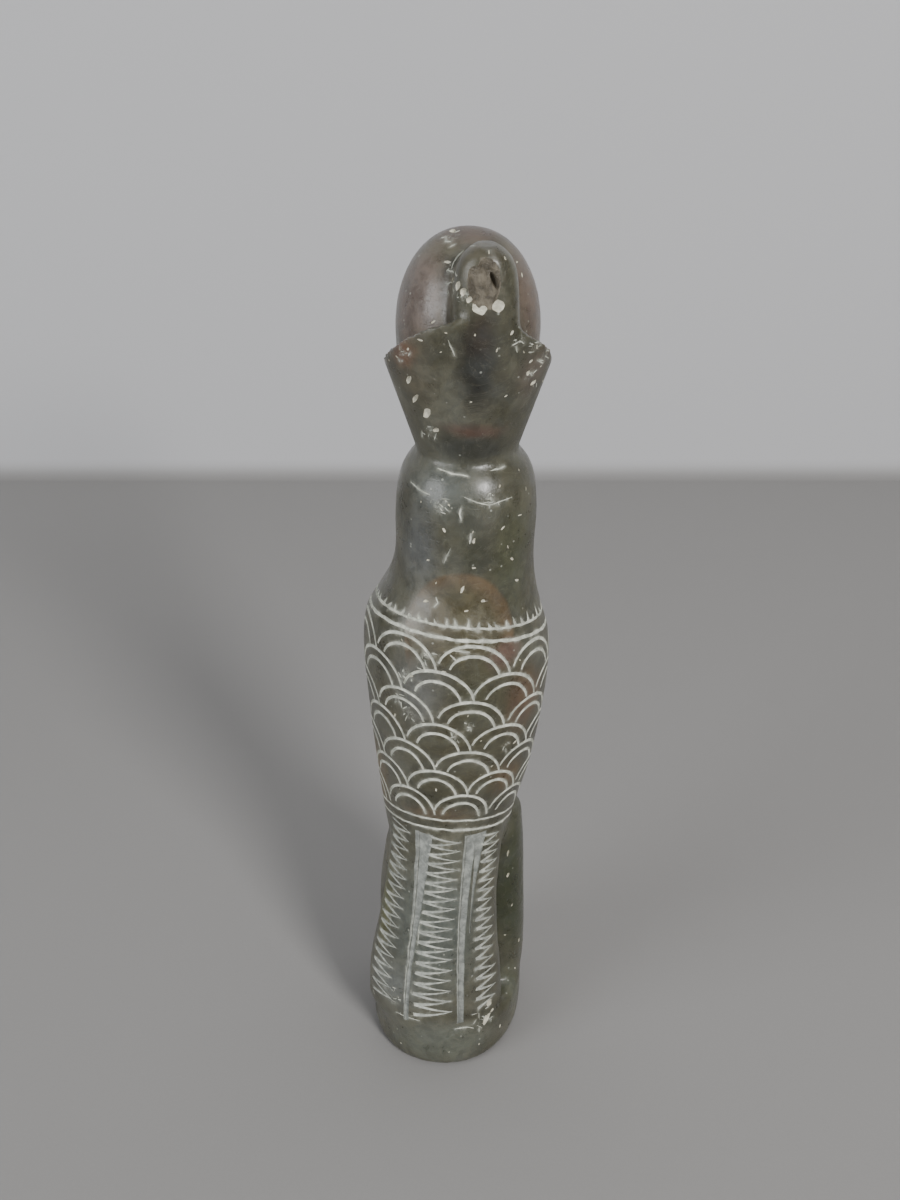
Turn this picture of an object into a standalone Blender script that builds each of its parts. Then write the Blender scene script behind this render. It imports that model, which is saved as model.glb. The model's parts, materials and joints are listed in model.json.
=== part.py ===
"""Soapstone falcon of Horus wearing the double crown, carved in one piece with its oval plinth.

Metres, +Z up. The falcon faces -Y, its tail is at +Y, and the origin is the middle of the
plinth's underside. The carver's lean is kept: the figure drifts towards -X as it rises.
"""

import math

import bmesh
import bpy
from mathutils import Vector

# Driving sizes of the whole statue
STATUE_HEIGHT = 0.300
PLINTH_HEIGHT = 0.018
PLINTH_LENGTH = 0.070
PLINTH_WIDTH = 0.0560
PLINTH_EDGE_INSET = 0.0015

# The bird: body, head, legs and tail
BODY_WIDTH = 0.0604
BODY_DEPTH = 0.0590
BODY_SET_BACK = 0.0038
LEAN_AT_WAIST = 0.0006
LEAN_AT_CROWN = 0.0066
LEGS_WIDTH = 0.0560
LEG_OVERLAP = 0.0024
LEG_DEPTH = 0.0290
LEG_SET_BACK = -0.0065
TAIL_WIDTH = 0.0496
TAIL_THICKNESS = 0.0100
TAIL_CURVE = 0.0120
TAIL_OFFSET = 0.0021
TAIL_DRIFT = 0.0043
BEAK_LENGTH = 0.0130
BEAK_WIDTH = 0.0150
EYE_DIAMETER = 0.0090
TOES_ON_A_FOOT = 3
TOE_LENGTH = 0.0150
TOE_WIDTH = 0.0078

# The double crown: flared red crown, egg of the white crown, rear post
NECK_JOINT_WIDTH = 0.0302
CUP_RIM_WIDTH = 0.0486
CUP_LIP = 0.0030
CUP_REAR_RISE = 0.0180
CUP_REAR_REACH = 0.0262
EGG_WIDTH = 0.0414
EGG_DEPTH = 0.0390
POST_WIDTH = 0.0186
POST_DEPTH = 0.0150
POST_OFFSET = 0.0040
CROWN_TURN_DEG = 9.0

# Scratched and scraped carving
LINE_WIDTH = 0.0013
LINE_DEPTH = 0.0008
BAND_HEIGHT = 0.0042
SCALES_IN_A_ROW = 8
SCALE_ROWS = 7
SCALES_TURN_DEG = 18.0
NICKS_IN_BAND = 24
NICK_HEIGHT = 0.0030
ZIGZAG_STROKES = 17
FLUTE_WIDTH_TOP = 0.0064
FLUTE_WIDTH_FOOT = 0.0036
FLUTE_DEPTH = 0.0011

# Levels of the carving, as shares of the figure's height above its plinth
WAIST_BAND = 0.297
SHOULDER_BAND = 0.579
NECK_JOINT = 0.7710
CUP_RIM = 0.869
EYE_LEVEL = 0.703
BEAK_LEVEL = 0.690
TAIL_CARVING_FOOT = 0.022
TAIL_CARVING_TOP = 0.292

# Height, width, back depth, front depth, rearward tilt and sideways roll in degrees, and
# lean of each body section, lengths as shares of the figure's height and the body's sizes
BODY_STATIONS = (
    (0.235, 0.680, 0.640, 0.660, 14.0, 0.0, 0.00),
    (0.295, 0.760, 0.745, 0.760, 14.0, 1.0, 0.05),
    (0.364, 0.868, 0.850, 0.920, 13.0, 2.0, 0.28),
    (0.438, 0.950, 0.935, 1.060, 12.0, 4.0, 0.40),
    (0.510, 1.000, 0.980, 1.080, 11.5, 5.5, 0.48),
    (0.560, 0.972, 0.965, 1.000, 11.0, 6.0, 0.54),
    (0.588, 0.870, 0.890, 0.880, 9.0, 5.0, 0.64),
    (0.618, 0.764, 0.800, 0.790, 5.0, 3.0, 0.80),
    (0.650, 0.715, 0.755, 0.770, 2.0, 1.0, 0.90),
    (0.692, 0.718, 0.755, 0.790, 0.0, 0.0, 0.96),
    (0.724, 0.700, 0.730, 0.755, 0.0, 0.0, 0.98),
    (0.747, 0.655, 0.675, 0.690, 0.0, 0.0, 1.00),
    (0.764, 0.560, 0.580, 0.590, 0.0, 0.0, 1.00),
    (0.780, 0.400, 0.400, 0.400, 0.0, 0.0, 1.00),
)

# Height, outward reach of the left leg and of the right leg, and depth, from under the
# plinth's top to the shoulder of the thigh
LEG_STATIONS = (
    (-0.020, 0.900, 0.980, 1.060),
    (0.015, 0.920, 1.010, 1.000),
    (0.070, 0.950, 1.010, 0.900),
    (0.130, 0.930, 0.990, 0.880),
    (0.200, 0.840, 0.965, 0.940),
    (0.240, 0.730, 0.935, 0.900),
    (0.264, 0.670, 0.900, 0.680),
    (0.277, 0.560, 0.740, 0.500),
)

# Height, width, drift, curve and how far behind the origin the tail's outer face lies
TAIL_STATIONS = (
    (-0.045, 0.760, 0.60, 1.30, 0.0335),
    (-0.002, 0.980, 1.00, 1.00, 0.0346),
    (0.020, 1.000, 1.00, 1.00, 0.0346),
    (0.075, 0.960, 0.95, 0.92, 0.0337),
    (0.135, 0.870, 0.75, 0.80, 0.0320),
    (0.200, 0.800, 0.45, 0.72, 0.0298),
    (0.260, 0.790, 0.20, 0.74, 0.0272),
    (0.312, 0.800, 0.00, 0.78, 0.0248),
)

TAIL_SQUARENESS = 3.2
PLINTH_SQUARENESS = 2.15
BODY_SIDES = 24
BODY_RINGS = 13
LEG_SIDES = 10
TAIL_RINGS = 7
PLINTH_SIDES = 24
CUP_SIDES = 20
EGG_SIDES = 18
POST_SIDES = 10


def level(share):
    """A share of the figure's height as a height above the plinth's underside."""
    return PLINTH_HEIGHT + share * (STATUE_HEIGHT - PLINTH_HEIGHT)


def as_share(length):
    return length / (STATUE_HEIGHT - PLINTH_HEIGHT)


def read_stations(stations, height):
    """A smooth curve through the stations' values, read at one height."""
    last = len(stations) - 1
    k = max([i for i in range(last) if stations[i][0] <= height], default=0)
    low, high = stations[k], stations[k + 1]
    before, after = stations[max(k - 1, 0)], stations[min(k + 2, last)]
    span = high[0] - low[0]
    t = (height - low[0]) / span
    values = []
    for a, b, c, d in zip(before[1:], low[1:], high[1:], after[1:]):
        slope_low = (c - a) / (high[0] - before[0]) * span
        slope_high = (d - b) / (after[0] - low[0]) * span
        bend = 3 * (c - b) - 2 * slope_low - slope_high
        twist = slope_low + slope_high - 2 * (c - b)
        values.append(b + t * (slope_low + t * (bend + t * twist)))
    return values


def spread_levels(stations, count):
    """Evenly spaced heights from the first station to the last."""
    low, high = stations[0][0], stations[-1][0]
    return [low + (high - low) * k / (count - 1) for k in range(count)]


def around(sides):
    return [2 * math.pi * i / sides for i in range(sides)]


def rounded(angle, squareness):
    """A point of a unit superellipse: 2 is a circle, more is squarer."""
    c, s = math.cos(angle), math.sin(angle)
    return (
        math.copysign(abs(c) ** (2 / squareness), c),
        math.copysign(abs(s) ** (2 / squareness), s),
    )


def body_point(height, angle):
    """A point of the body's surface. Angle 0 is +X, a quarter turn is the back, +Y."""
    width, back, front, tilt, roll, lean_share = read_stations(BODY_STATIONS, height)
    lean = LEAN_AT_WAIST + (LEAN_AT_CROWN - LEAN_AT_WAIST) * lean_share
    depth = back if math.sin(angle) > 0 else front
    across = math.cos(angle) * width * BODY_WIDTH / 2
    behind = math.sin(angle) * depth * BODY_DEPTH / 2
    tilt, roll = math.radians(tilt), math.radians(roll)
    return Vector(
        (
            across - lean,
            BODY_SET_BACK + behind * math.cos(tilt),
            level(height) + behind * math.sin(tilt) + across * math.sin(roll),
        )
    )


def tail_point(height, angle):
    """A point of the tail's surface."""
    width, drift, curve, face = read_stations(TAIL_STATIONS, height)
    across, behind = rounded(angle, TAIL_SQUARENESS)
    return Vector(
        (
            across * width * TAIL_WIDTH / 2 + drift * TAIL_DRIFT - TAIL_OFFSET,
            face + (behind - 1) * TAIL_THICKNESS / 2 - curve * TAIL_CURVE * across**2,
            level(height),
        )
    )


def face_angle(across):
    """The angle of a point of the tail's outer face, across from -1 to 1 of its half width."""
    return math.acos(math.copysign(abs(across) ** (TAIL_SQUARENESS / 2), across))


def tail_face(height, across):
    return tail_point(height, face_angle(across))


def normal_of(surface, u, v):
    """Outward unit normal of a surface function at a height and a second value."""
    step = 1e-4
    upward = surface(u + step, v) - surface(u - step, v)
    sideways = surface(u, v + step) - surface(u, v - step)
    normal = sideways.cross(upward).normalized()
    point = surface(u, v)
    outward = Vector((point.x, point.y - BODY_SET_BACK, 0))
    return normal if normal.dot(outward) > 0 else -normal


def link_mesh(bm, name, collection):
    """Turns a finished bmesh into an object with its faces pointing outwards."""
    bmesh.ops.recalc_face_normals(bm, faces=bm.faces)
    mesh = bpy.data.meshes.new(name)
    bm.to_mesh(mesh)
    bm.free()
    obj = bpy.data.objects.new(name, mesh)
    collection.objects.link(obj)
    return obj


def bridge(bm, rings, closed=False):
    """Skins a row of rings, each with as many points, and caps the two ends."""
    rows = [[bm.verts.new(p) for p in ring] for ring in rings]
    count = len(rings[0])
    pairs = list(zip(rows, rows[1:]))
    if closed:
        pairs.append((rows[-1], rows[0]))
    for lower, upper in pairs:
        for i in range(count):
            j = (i + 1) % count
            bm.faces.new((lower[i], lower[j], upper[j], upper[i]))
    if not closed:
        bm.faces.new(list(reversed(rows[0])))
        bm.faces.new(rows[-1])


def loft(name, rings, collection):
    bm = bmesh.new()
    bridge(bm, rings)
    return link_mesh(bm, name, collection)


def pebble(name, centre, radii, collection, sides, tilt=(0, 0, 0)):
    """A smooth rounded lump with its own three radii."""
    bm = bmesh.new()
    bmesh.ops.create_uvsphere(bm, u_segments=sides, v_segments=sides * 2 // 3, radius=1.0)
    obj = link_mesh(bm, name, collection)
    obj.location = centre
    obj.scale = radii
    obj.rotation_euler = tilt
    return obj


def make_body(collection):
    rings = [
        [body_point(height, angle) for angle in around(BODY_SIDES)]
        for height in spread_levels(BODY_STATIONS, BODY_RINGS)
    ]
    return loft("horus_statue", rings, collection)


def plinth_edge(x):
    """Half the plinth's length at a distance from its middle line."""
    share = min(abs(x) / (PLINTH_WIDTH / 2), 0.98)
    return PLINTH_LENGTH / 2 * (1 - share**PLINTH_SQUARENESS) ** (1 / PLINTH_SQUARENESS)


def make_plinth(forms):
    """The oval plinth, softly rounded along its foot and its upper edge."""
    outline = ((0.0, 1.0), (0.25, 0.2), (0.75, 0.0), (1.0, 0.8))
    rings = []
    for share, inset in outline:
        half_width = PLINTH_WIDTH / 2 - inset * PLINTH_EDGE_INSET
        half_length = PLINTH_LENGTH / 2 - inset * PLINTH_EDGE_INSET
        ring = []
        for angle in around(PLINTH_SIDES):
            x, y = rounded(angle, PLINTH_SQUARENESS)
            ring.append(Vector((x * half_width, y * half_length, share * PLINTH_HEIGHT)))
        rings.append(ring)
    loft("plinth", rings, forms)


def make_legs(forms):
    """Two columns that touch in the middle, the right thigh standing out more at its top."""
    for name, side, column in (("leg_left", 1, 1), ("leg_right", -1, 2)):
        rings = []
        for station in LEG_STATIONS:
            outer = station[column] * LEGS_WIDTH / 2
            middle = side * (outer - LEG_OVERLAP / 2) / 2
            half_width = (outer + LEG_OVERLAP / 2) / 2
            ring = []
            for angle in around(LEG_SIDES):
                x, y = rounded(angle, 2.7)
                ring.append(
                    Vector(
                        (
                            middle + x * half_width,
                            LEG_SET_BACK + y * station[3] * LEG_DEPTH / 2,
                            level(station[0]),
                        )
                    )
                )
            rings.append(ring)
        loft(name, rings, forms)


def make_toes(forms):
    """Blunt toes in a row before each leg, their tips just inside the plinth's edge."""
    for side in (-1, 1):
        foot = side * LEGS_WIDTH * 0.225
        for k in range(TOES_ON_A_FOOT):
            x = foot + (k - (TOES_ON_A_FOOT - 1) / 2) * TOE_WIDTH * 0.92
            pebble(
                f"toe_{'left' if side > 0 else 'right'}_{k + 1}",
                (
                    x,
                    TOE_LENGTH / 2 - plinth_edge(x) * 0.93,
                    PLINTH_HEIGHT + TOE_WIDTH * 0.10,
                ),
                (TOE_WIDTH * 0.49, TOE_LENGTH / 2, TOE_WIDTH * 0.62),
                forms,
                8,
                (math.radians(10), 0, 0),
            )


def make_tail(forms):
    """The tail, its ring points spread evenly over the bowed outer face."""
    outer = [face_angle(share) for share in (1.0, 0.92, 0.7, 0.46, 0.23)]
    outer += [math.pi / 2] + [math.pi - angle for angle in reversed(outer)]
    inner = [-face_angle(share) for share in (-0.85, -0.35, 0.35, 0.85)]
    rings = [
        [tail_point(height, angle) for angle in outer + inner]
        for height in spread_levels(TAIL_STATIONS, TAIL_RINGS)
    ]
    loft("tail", rings, forms)


def crown_point(across, behind, z):
    """A point of the crown, which is turned a little about its own upright axis."""
    c, s = math.cos(math.radians(CROWN_TURN_DEG)), math.sin(math.radians(CROWN_TURN_DEG))
    return Vector(
        (
            across * c - behind * s - LEAN_AT_CROWN,
            across * s + behind * c + BODY_SET_BACK,
            z,
        )
    )


def crown_ring(sides, radius_x, radius_y, z):
    return [crown_point(math.cos(a) * radius_x, math.sin(a) * radius_y, z) for a in around(sides)]


def rim_height(angle):
    """The red crown's rim: level in front, climbing to the post behind."""
    return level(CUP_RIM) + CUP_REAR_RISE * max(0.0, math.sin(angle)) ** 1.4


def cup_radius(angle, z):
    """The red crown's outside: it flares less towards its tall rear than at its sides."""
    joint = level(NECK_JOINT)
    foot = NECK_JOINT_WIDTH / 2
    side_flare = (CUP_RIM_WIDTH / 2 - foot) / (level(CUP_RIM) - joint)
    rear_flare = (CUP_REAR_REACH - foot) / (level(CUP_RIM) + CUP_REAR_RISE - joint)
    rear_share = max(0.0, math.sin(angle)) ** 2
    return foot + (z - joint) * (side_flare + (rear_flare - side_flare) * rear_share)


def make_cup(forms):
    """The red crown: a straight-sided flare round the foot of the white crown."""
    joint = level(NECK_JOINT)
    rings = []
    for share in (-0.12, 0.35, 0.7, 1.0):
        ring = []
        for angle in around(CUP_SIDES):
            z = joint + share * (rim_height(angle) - joint)
            radius = cup_radius(angle, z)
            ring.append(crown_point(math.cos(angle) * radius, math.sin(angle) * radius, z))
        rings.append(ring)
    lip = []
    for angle in around(CUP_SIDES):
        top = rim_height(angle)
        radius = cup_radius(angle, top) - CUP_LIP
        lip.append(
            crown_point(math.cos(angle) * radius, math.sin(angle) * radius, top - CUP_LIP * 0.3)
        )
    well = crown_ring(CUP_SIDES, EGG_WIDTH * 0.3, EGG_DEPTH * 0.3, level(CUP_RIM) - CUP_LIP * 2)
    loft("red_crown", rings + [lip, well], forms)


def make_egg(forms):
    """The white crown: a full rounded egg standing in the cup."""
    foot = level(CUP_RIM) - CUP_LIP * 4
    shoulder = level(CUP_RIM) + (STATUE_HEIGHT - level(CUP_RIM)) * 0.22
    rings = [(foot, 0.955)]
    for k in range(9):
        rise = math.sin(math.pi / 2 * k / 9)
        size = (1 - rise**2.15) ** (1 / 2.15)
        rings.append((shoulder + rise * (STATUE_HEIGHT - shoulder), size))
    rings.append((STATUE_HEIGHT, 0.08))
    solid = [crown_ring(EGG_SIDES, EGG_WIDTH / 2 * size, EGG_DEPTH / 2 * size, z) for z, size in rings]
    loft("white_crown", solid, forms)


def make_post(forms, cuts):
    """The red crown's rear post, rising out of its rear wall, its top broken away."""
    foot, top = level(CUP_RIM), STATUE_HEIGHT
    rings = []
    for share, size, sunk in (
        (-0.28, 0.50, 0.0078),
        (0.15, 1.00, 0.0010),
        (0.60, 0.97, 0.0),
        (0.80, 0.90, 0.0),
        (0.92, 0.70, 0.0),
        (1.00, 0.30, 0.0),
    ):
        z = foot + (top - foot) * share
        rear = min(cup_radius(math.pi / 2, z), CUP_REAR_REACH) - sunk
        ring = []
        for angle in around(POST_SIDES):
            x, y = rounded(angle, 2.3)
            behind = rear + (y * (0.4 + 0.6 * size) - 1) * POST_DEPTH / 2
            ring.append(crown_point(x * size * POST_WIDTH / 2 - POST_OFFSET, behind, z))
        rings.append(ring)
    loft("rear_post", rings, forms)
    pebble(
        "broken_post_top",
        crown_point(-POST_OFFSET, CUP_REAR_REACH + POST_DEPTH * 0.28, top - POST_DEPTH * 0.22),
        (POST_WIDTH * 0.52, POST_DEPTH * 0.52, POST_DEPTH * 0.80),
        cuts,
        12,
        (math.radians(24), 0, math.radians(CROWN_TURN_DEG)),
    )


def make_beak(forms):
    """A hooked beak, wide at the cheeks and turned down at its tip."""
    root = body_point(BEAK_LEVEL, -math.pi / 2)
    rings = []
    for k in range(6):
        share = k / 5
        size = 1 - share**1.5 * 0.84
        reach = BEAK_LENGTH * (math.sin(share * math.pi / 2) * 1.3 - 0.3)
        drop = BEAK_LENGTH * (0.08 * share + 0.60 * share**3)
        pitch = math.radians(65) * share**2
        ring = []
        for angle in around(10):
            across = math.cos(angle) * size * BEAK_WIDTH / 2
            up = math.sin(angle) * size * BEAK_WIDTH * 0.52
            ring.append(
                root + Vector((across, -reach - up * math.sin(pitch), up * math.cos(pitch) - drop))
            )
        rings.append(ring)
    loft("beak", rings, forms)


def add_groove(bm, surface, spots, widths, depths, closed=False):
    """Adds a V-shaped cutting tool that follows spots of a surface."""
    points = [surface(*spot) for spot in spots]
    normals = [normal_of(surface, *spot) for spot in spots]
    last = len(points) - 1
    rings = []
    for i, (point, normal) in enumerate(zip(points, normals)):
        before = points[i - 1] if closed or i > 0 else point
        after = points[(i + 1) % len(points)] if closed or i < last else point
        side = normal.cross(after - before).normalized() * widths[i]
        rise = normal * depths[i]
        rings.append((point - rise, point + rise + side, point + rise - side))
    bridge(bm, rings, closed)


def make_groove(cuts, name, surface, spots, widths, depths, closed=False):
    bm = bmesh.new()
    add_groove(bm, surface, spots, widths, depths, closed)
    link_mesh(bm, name, cuts)


def cut_bands(cuts):
    """Two scratched lines round the waist and two round the shoulders."""
    for name, height in (("waist", WAIST_BAND), ("shoulder", SHOULDER_BAND)):
        for k, side in enumerate((-0.5, 0.5)):
            spots = [(height + side * as_share(BAND_HEIGHT), a) for a in around(BODY_SIDES)]
            widths = [LINE_WIDTH] * BODY_SIDES
            depths = [LINE_DEPTH] * BODY_SIDES
            make_groove(cuts, f"{name}_line_{k}", body_point, spots, widths, depths, True)


def cut_shoulder_nicks(cuts):
    """A row of small upright nicks that stand on the shoulder band."""
    foot = SHOULDER_BAND + as_share(BAND_HEIGHT / 2 + LINE_WIDTH * 0.7)
    bm = bmesh.new()
    for k in range(NICKS_IN_BAND):
        angle = 2 * math.pi * (k + 0.5) / NICKS_IN_BAND
        spots = [(foot, angle), (foot + as_share(NICK_HEIGHT), angle)]
        widths = [LINE_WIDTH * 1.2, LINE_WIDTH * 0.2]
        add_groove(bm, body_point, spots, widths, [LINE_DEPTH, LINE_DEPTH * 0.2])
    link_mesh(bm, "shoulder_nicks", cuts)


def cut_scales(cuts):
    """The bird's feathers: staggered rows of arched scratches all the way round."""
    foot = WAIST_BAND + as_share(BAND_HEIGHT / 2 + LINE_WIDTH * 1.5)
    head = SHOULDER_BAND - as_share(BAND_HEIGHT / 2 + LINE_WIDTH * 1.5)
    row_step = (head - foot) / SCALE_ROWS
    column_step = 2 * math.pi / SCALES_IN_A_ROW
    turn = math.radians(SCALES_TURN_DEG)
    swell = (0.35, 0.95, 1.0, 0.95, 0.35)
    for parity in (0, 1):
        bm = bmesh.new()
        for row in range(parity, SCALE_ROWS, 2):
            apex = head - row_step * row
            for column in range(SCALES_IN_A_ROW):
                middle = turn + column_step * (column + 0.5 * parity)
                spots = []
                for i in range(5):
                    sweep = math.radians(172 - 41 * i)
                    angle = middle + math.cos(sweep) * column_step * 0.45
                    spots.append((apex - (1 - math.sin(sweep)) * row_step * 1.0, angle))
                widths = [LINE_WIDTH * s for s in swell]
                add_groove(bm, body_point, spots, widths, [LINE_DEPTH * s for s in swell])
        link_mesh(bm, f"scales_{parity}", cuts)


def cut_tail_shafts(cuts):
    """The two scraped feather shafts, wide at the waist and narrower at the foot."""
    for k, (foot_across, top_across) in enumerate(((-0.46, -0.43), (0.34, 0.33))):
        spots, widths = [], []
        for i in range(4):
            share = i / 3
            height = TAIL_CARVING_FOOT + (TAIL_CARVING_TOP - TAIL_CARVING_FOOT) * share
            spots.append((height, foot_across + (top_across - foot_across) * share))
            widths.append((FLUTE_WIDTH_FOOT + (FLUTE_WIDTH_TOP - FLUTE_WIDTH_FOOT) * share**2) / 2)
        make_groove(cuts, f"tail_shaft_{k}", tail_face, spots, widths, [FLUTE_DEPTH] * 4)


def cut_tail_zigzags(cuts):
    """Three columns of zigzag barbs, between and beside the shafts."""
    step = (TAIL_CARVING_TOP - TAIL_CARVING_FOOT) / ZIGZAG_STROKES
    for column, (left, right) in enumerate(((-0.94, -0.64), (-0.32, 0.23), (0.58, 0.93))):
        for parity in (0, 1):
            bm = bmesh.new()
            start, end = (left, right) if parity else (right, left)
            for k in range(parity, ZIGZAG_STROKES, 2):
                low = TAIL_CARVING_FOOT + step * (k + 0.1)
                shares = (0.0, 0.5, 1.0) if column == 1 else (0.0, 1.0)
                spots = [(low + step * 0.8 * s, start + (end - start) * s) for s in shares]
                widths = [LINE_WIDTH * 0.8] * len(spots)
                add_groove(bm, tail_face, spots, widths, [LINE_DEPTH * 0.8] * len(spots))
            link_mesh(bm, f"zigzag_{column}_{parity}", cuts)


def cut_eyes(cuts):
    """A ring scratched round each eye, and the stripe that runs down from it."""
    radius = EYE_DIAMETER / 2
    turn = 1 / (BODY_WIDTH / 2 * 0.71)
    for name, side in (("left", 1), ("right", -1)):
        middle = -math.pi / 2 + side * math.radians(50)
        spots = [
            (EYE_LEVEL + as_share(radius * math.sin(a)), middle + radius * math.cos(a) * turn)
            for a in around(10)
        ]
        make_groove(
            cuts, f"eye_{name}", body_point, spots, [LINE_WIDTH] * 10, [LINE_DEPTH] * 10, True
        )
        spots = [
            (EYE_LEVEL - as_share(radius * (1.5 + 2.4 * share)), middle + side * 0.18 * share**2)
            for share in (0.0, 0.33, 0.67, 1.0)
        ]
        swell = (1.0, 1.8, 1.5, 0.4)
        widths = [LINE_WIDTH * s for s in swell]
        make_groove(
            cuts, f"cheek_{name}", body_point, spots, widths, [LINE_DEPTH * s for s in swell]
        )


def soapstone():
    """Dark grey-green soapstone with a waxy hand polish."""
    material = bpy.data.materials.new("polished_soapstone")
    material.use_nodes = True
    shader = material.node_tree.nodes["Principled BSDF"]
    shader.inputs["Base Color"].default_value = (0.115, 0.112, 0.088, 1)
    shader.inputs["Roughness"].default_value = 0.38
    shader.inputs["Metallic"].default_value = 0.0
    return material


def new_collection(name):
    collection = bpy.data.collections.new(name)
    bpy.context.scene.collection.children.link(collection)
    return collection


def main():
    for obj in list(bpy.data.objects):
        bpy.data.objects.remove(obj)
    statue = make_body(new_collection("horus_statue"))

    forms = new_collection("joined_forms")
    cuts = new_collection("carving_tools")
    make_plinth(forms)
    make_legs(forms)
    make_toes(forms)
    make_tail(forms)
    make_cup(forms)
    make_egg(forms)
    make_post(forms, cuts)
    make_beak(forms)
    cut_bands(cuts)
    cut_shoulder_nicks(cuts)
    cut_scales(cuts)
    cut_tail_shafts(cuts)
    cut_tail_zigzags(cuts)
    cut_eyes(cuts)

    for hidden in list(forms.objects) + list(cuts.objects):
        hidden.hide_render = True
        hidden.display_type = "WIRE"
    for name, operation, collection in (("join", "UNION", forms), ("carve", "DIFFERENCE", cuts)):
        modifier = statue.modifiers.new(name, "BOOLEAN")
        modifier.operation = operation
        modifier.operand_type = "COLLECTION"
        modifier.collection = collection
        modifier.solver = "EXACT"

    statue.data.materials.append(soapstone())
    statue.data.shade_smooth()
    statue.data.set_sharp_from_angle(angle=math.radians(35))


main()
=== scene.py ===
"""The looks of the soapstone falcon of Horus, carved in one piece with its oval plinth.

Metres, +Z up. The falcon faces -Y and the photograph was taken from behind and above it.
The stone is built form by form, melted into one block, smoothed as by hand sanding, and then
scratched, scraped and chipped with cutting tools that follow its surface.
"""

import json
import random
from math import acos, copysign, cos, pi, radians, sin, sqrt

import bmesh
import bpy
import numpy as np
from mathutils import Euler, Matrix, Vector, noise
from mathutils.bvhtree import BVHTree
from mathutils.kdtree import KDTree

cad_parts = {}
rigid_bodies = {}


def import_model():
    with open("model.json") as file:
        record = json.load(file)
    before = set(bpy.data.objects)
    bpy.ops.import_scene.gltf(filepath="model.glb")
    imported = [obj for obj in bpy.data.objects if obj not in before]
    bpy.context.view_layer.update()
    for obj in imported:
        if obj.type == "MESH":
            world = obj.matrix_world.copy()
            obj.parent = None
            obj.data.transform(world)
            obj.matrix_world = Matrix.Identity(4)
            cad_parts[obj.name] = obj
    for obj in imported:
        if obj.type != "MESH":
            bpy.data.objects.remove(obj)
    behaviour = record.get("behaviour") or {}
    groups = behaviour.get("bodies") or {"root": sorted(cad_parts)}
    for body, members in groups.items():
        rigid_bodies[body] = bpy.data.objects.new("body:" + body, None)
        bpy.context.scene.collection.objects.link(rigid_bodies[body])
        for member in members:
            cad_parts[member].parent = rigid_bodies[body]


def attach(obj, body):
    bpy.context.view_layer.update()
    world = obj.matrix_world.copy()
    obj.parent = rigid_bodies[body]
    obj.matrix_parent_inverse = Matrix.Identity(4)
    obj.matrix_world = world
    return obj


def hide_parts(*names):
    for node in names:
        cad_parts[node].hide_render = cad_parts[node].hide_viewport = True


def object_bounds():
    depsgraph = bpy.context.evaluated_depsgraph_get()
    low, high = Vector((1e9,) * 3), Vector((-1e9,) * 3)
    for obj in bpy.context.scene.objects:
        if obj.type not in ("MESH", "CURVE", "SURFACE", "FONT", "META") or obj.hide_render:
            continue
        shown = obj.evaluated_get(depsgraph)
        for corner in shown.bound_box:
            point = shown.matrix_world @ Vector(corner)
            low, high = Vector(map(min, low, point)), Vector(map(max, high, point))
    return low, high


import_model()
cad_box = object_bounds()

# The camera stands behind the falcon, a little to its right, and looks down on it by about
# thirty degrees. The same view places the marks that the photograph shows on the stone.
PHOTO_WIDTH, PHOTO_HEIGHT = 900, 1200
LENS, SENSOR = 37.5, 36
CAMERA_TURN = radians(8)
CAMERA_TILT = radians(60.2)
CAMERA_DISTANCE = 0.3415
CAMERA_HEIGHT = 0.381
AIM_ASIDE, AIM_BEHIND = 0.0023, 0.010


def put(name, data):
    """A new object, set in the scene."""
    made = bpy.data.objects.new(name, data)
    bpy.context.scene.collection.objects.link(made)
    return made


camera_data = bpy.data.cameras.new("photo_camera")
camera_data.lens = LENS
camera_data.sensor_width = SENSOR
camera_data.clip_start = 0.02
camera = put("photo_camera", camera_data)
camera.location = (
    -CAMERA_DISTANCE * sin(CAMERA_TURN) - AIM_ASIDE,
    CAMERA_DISTANCE * cos(CAMERA_TURN) + AIM_BEHIND,
    CAMERA_HEIGHT,
)
camera.rotation_euler = (CAMERA_TILT, 0, pi + CAMERA_TURN)
bpy.context.scene.camera = camera

# The bird's body and head: one swelling column of stone, broad at the shoulders, that leans
# to the side as it rises. Sizes are the solid's own. This form and those of the next seven
# sections are closed shells that overlap, as in the roughed-out block before its sanding.
STATUE_HEIGHT = 0.300
PLINTH_HEIGHT = 0.018
BODY_WIDTH = 0.0604
BODY_DEPTH = 0.0590
BODY_SET_BACK = 0.0038
LEAN_AT_WAIST = 0.0006
LEAN_AT_CROWN = 0.0066
# Height share; width, back and front depth shares; tilt and roll in degrees; share of the lean.
BODY_STATIONS = (
    (0.235, 0.680, 0.640, 0.660, 14.0, 0.0, 0.00),
    (0.295, 0.760, 0.745, 0.760, 14.0, 1.0, 0.05),
    (0.364, 0.868, 0.850, 0.920, 13.0, 2.0, 0.28),
    (0.438, 0.950, 0.935, 1.060, 12.0, 4.0, 0.40),
    (0.510, 1.000, 0.980, 1.080, 11.5, 5.5, 0.48),
    (0.560, 0.972, 0.965, 1.000, 11.0, 6.0, 0.54),
    (0.588, 0.870, 0.890, 0.880, 9.0, 5.0, 0.64),
    (0.618, 0.764, 0.800, 0.790, 5.0, 3.0, 0.80),
    (0.650, 0.715, 0.755, 0.770, 2.0, 1.0, 0.90),
    (0.692, 0.718, 0.755, 0.790, 0.0, 0.0, 0.96),
    (0.724, 0.700, 0.730, 0.755, 0.0, 0.0, 0.98),
    (0.747, 0.655, 0.675, 0.690, 0.0, 0.0, 1.00),
    (0.764, 0.560, 0.580, 0.590, 0.0, 0.0, 1.00),
    (0.780, 0.400, 0.400, 0.400, 0.0, 0.0, 1.00),
)


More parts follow.
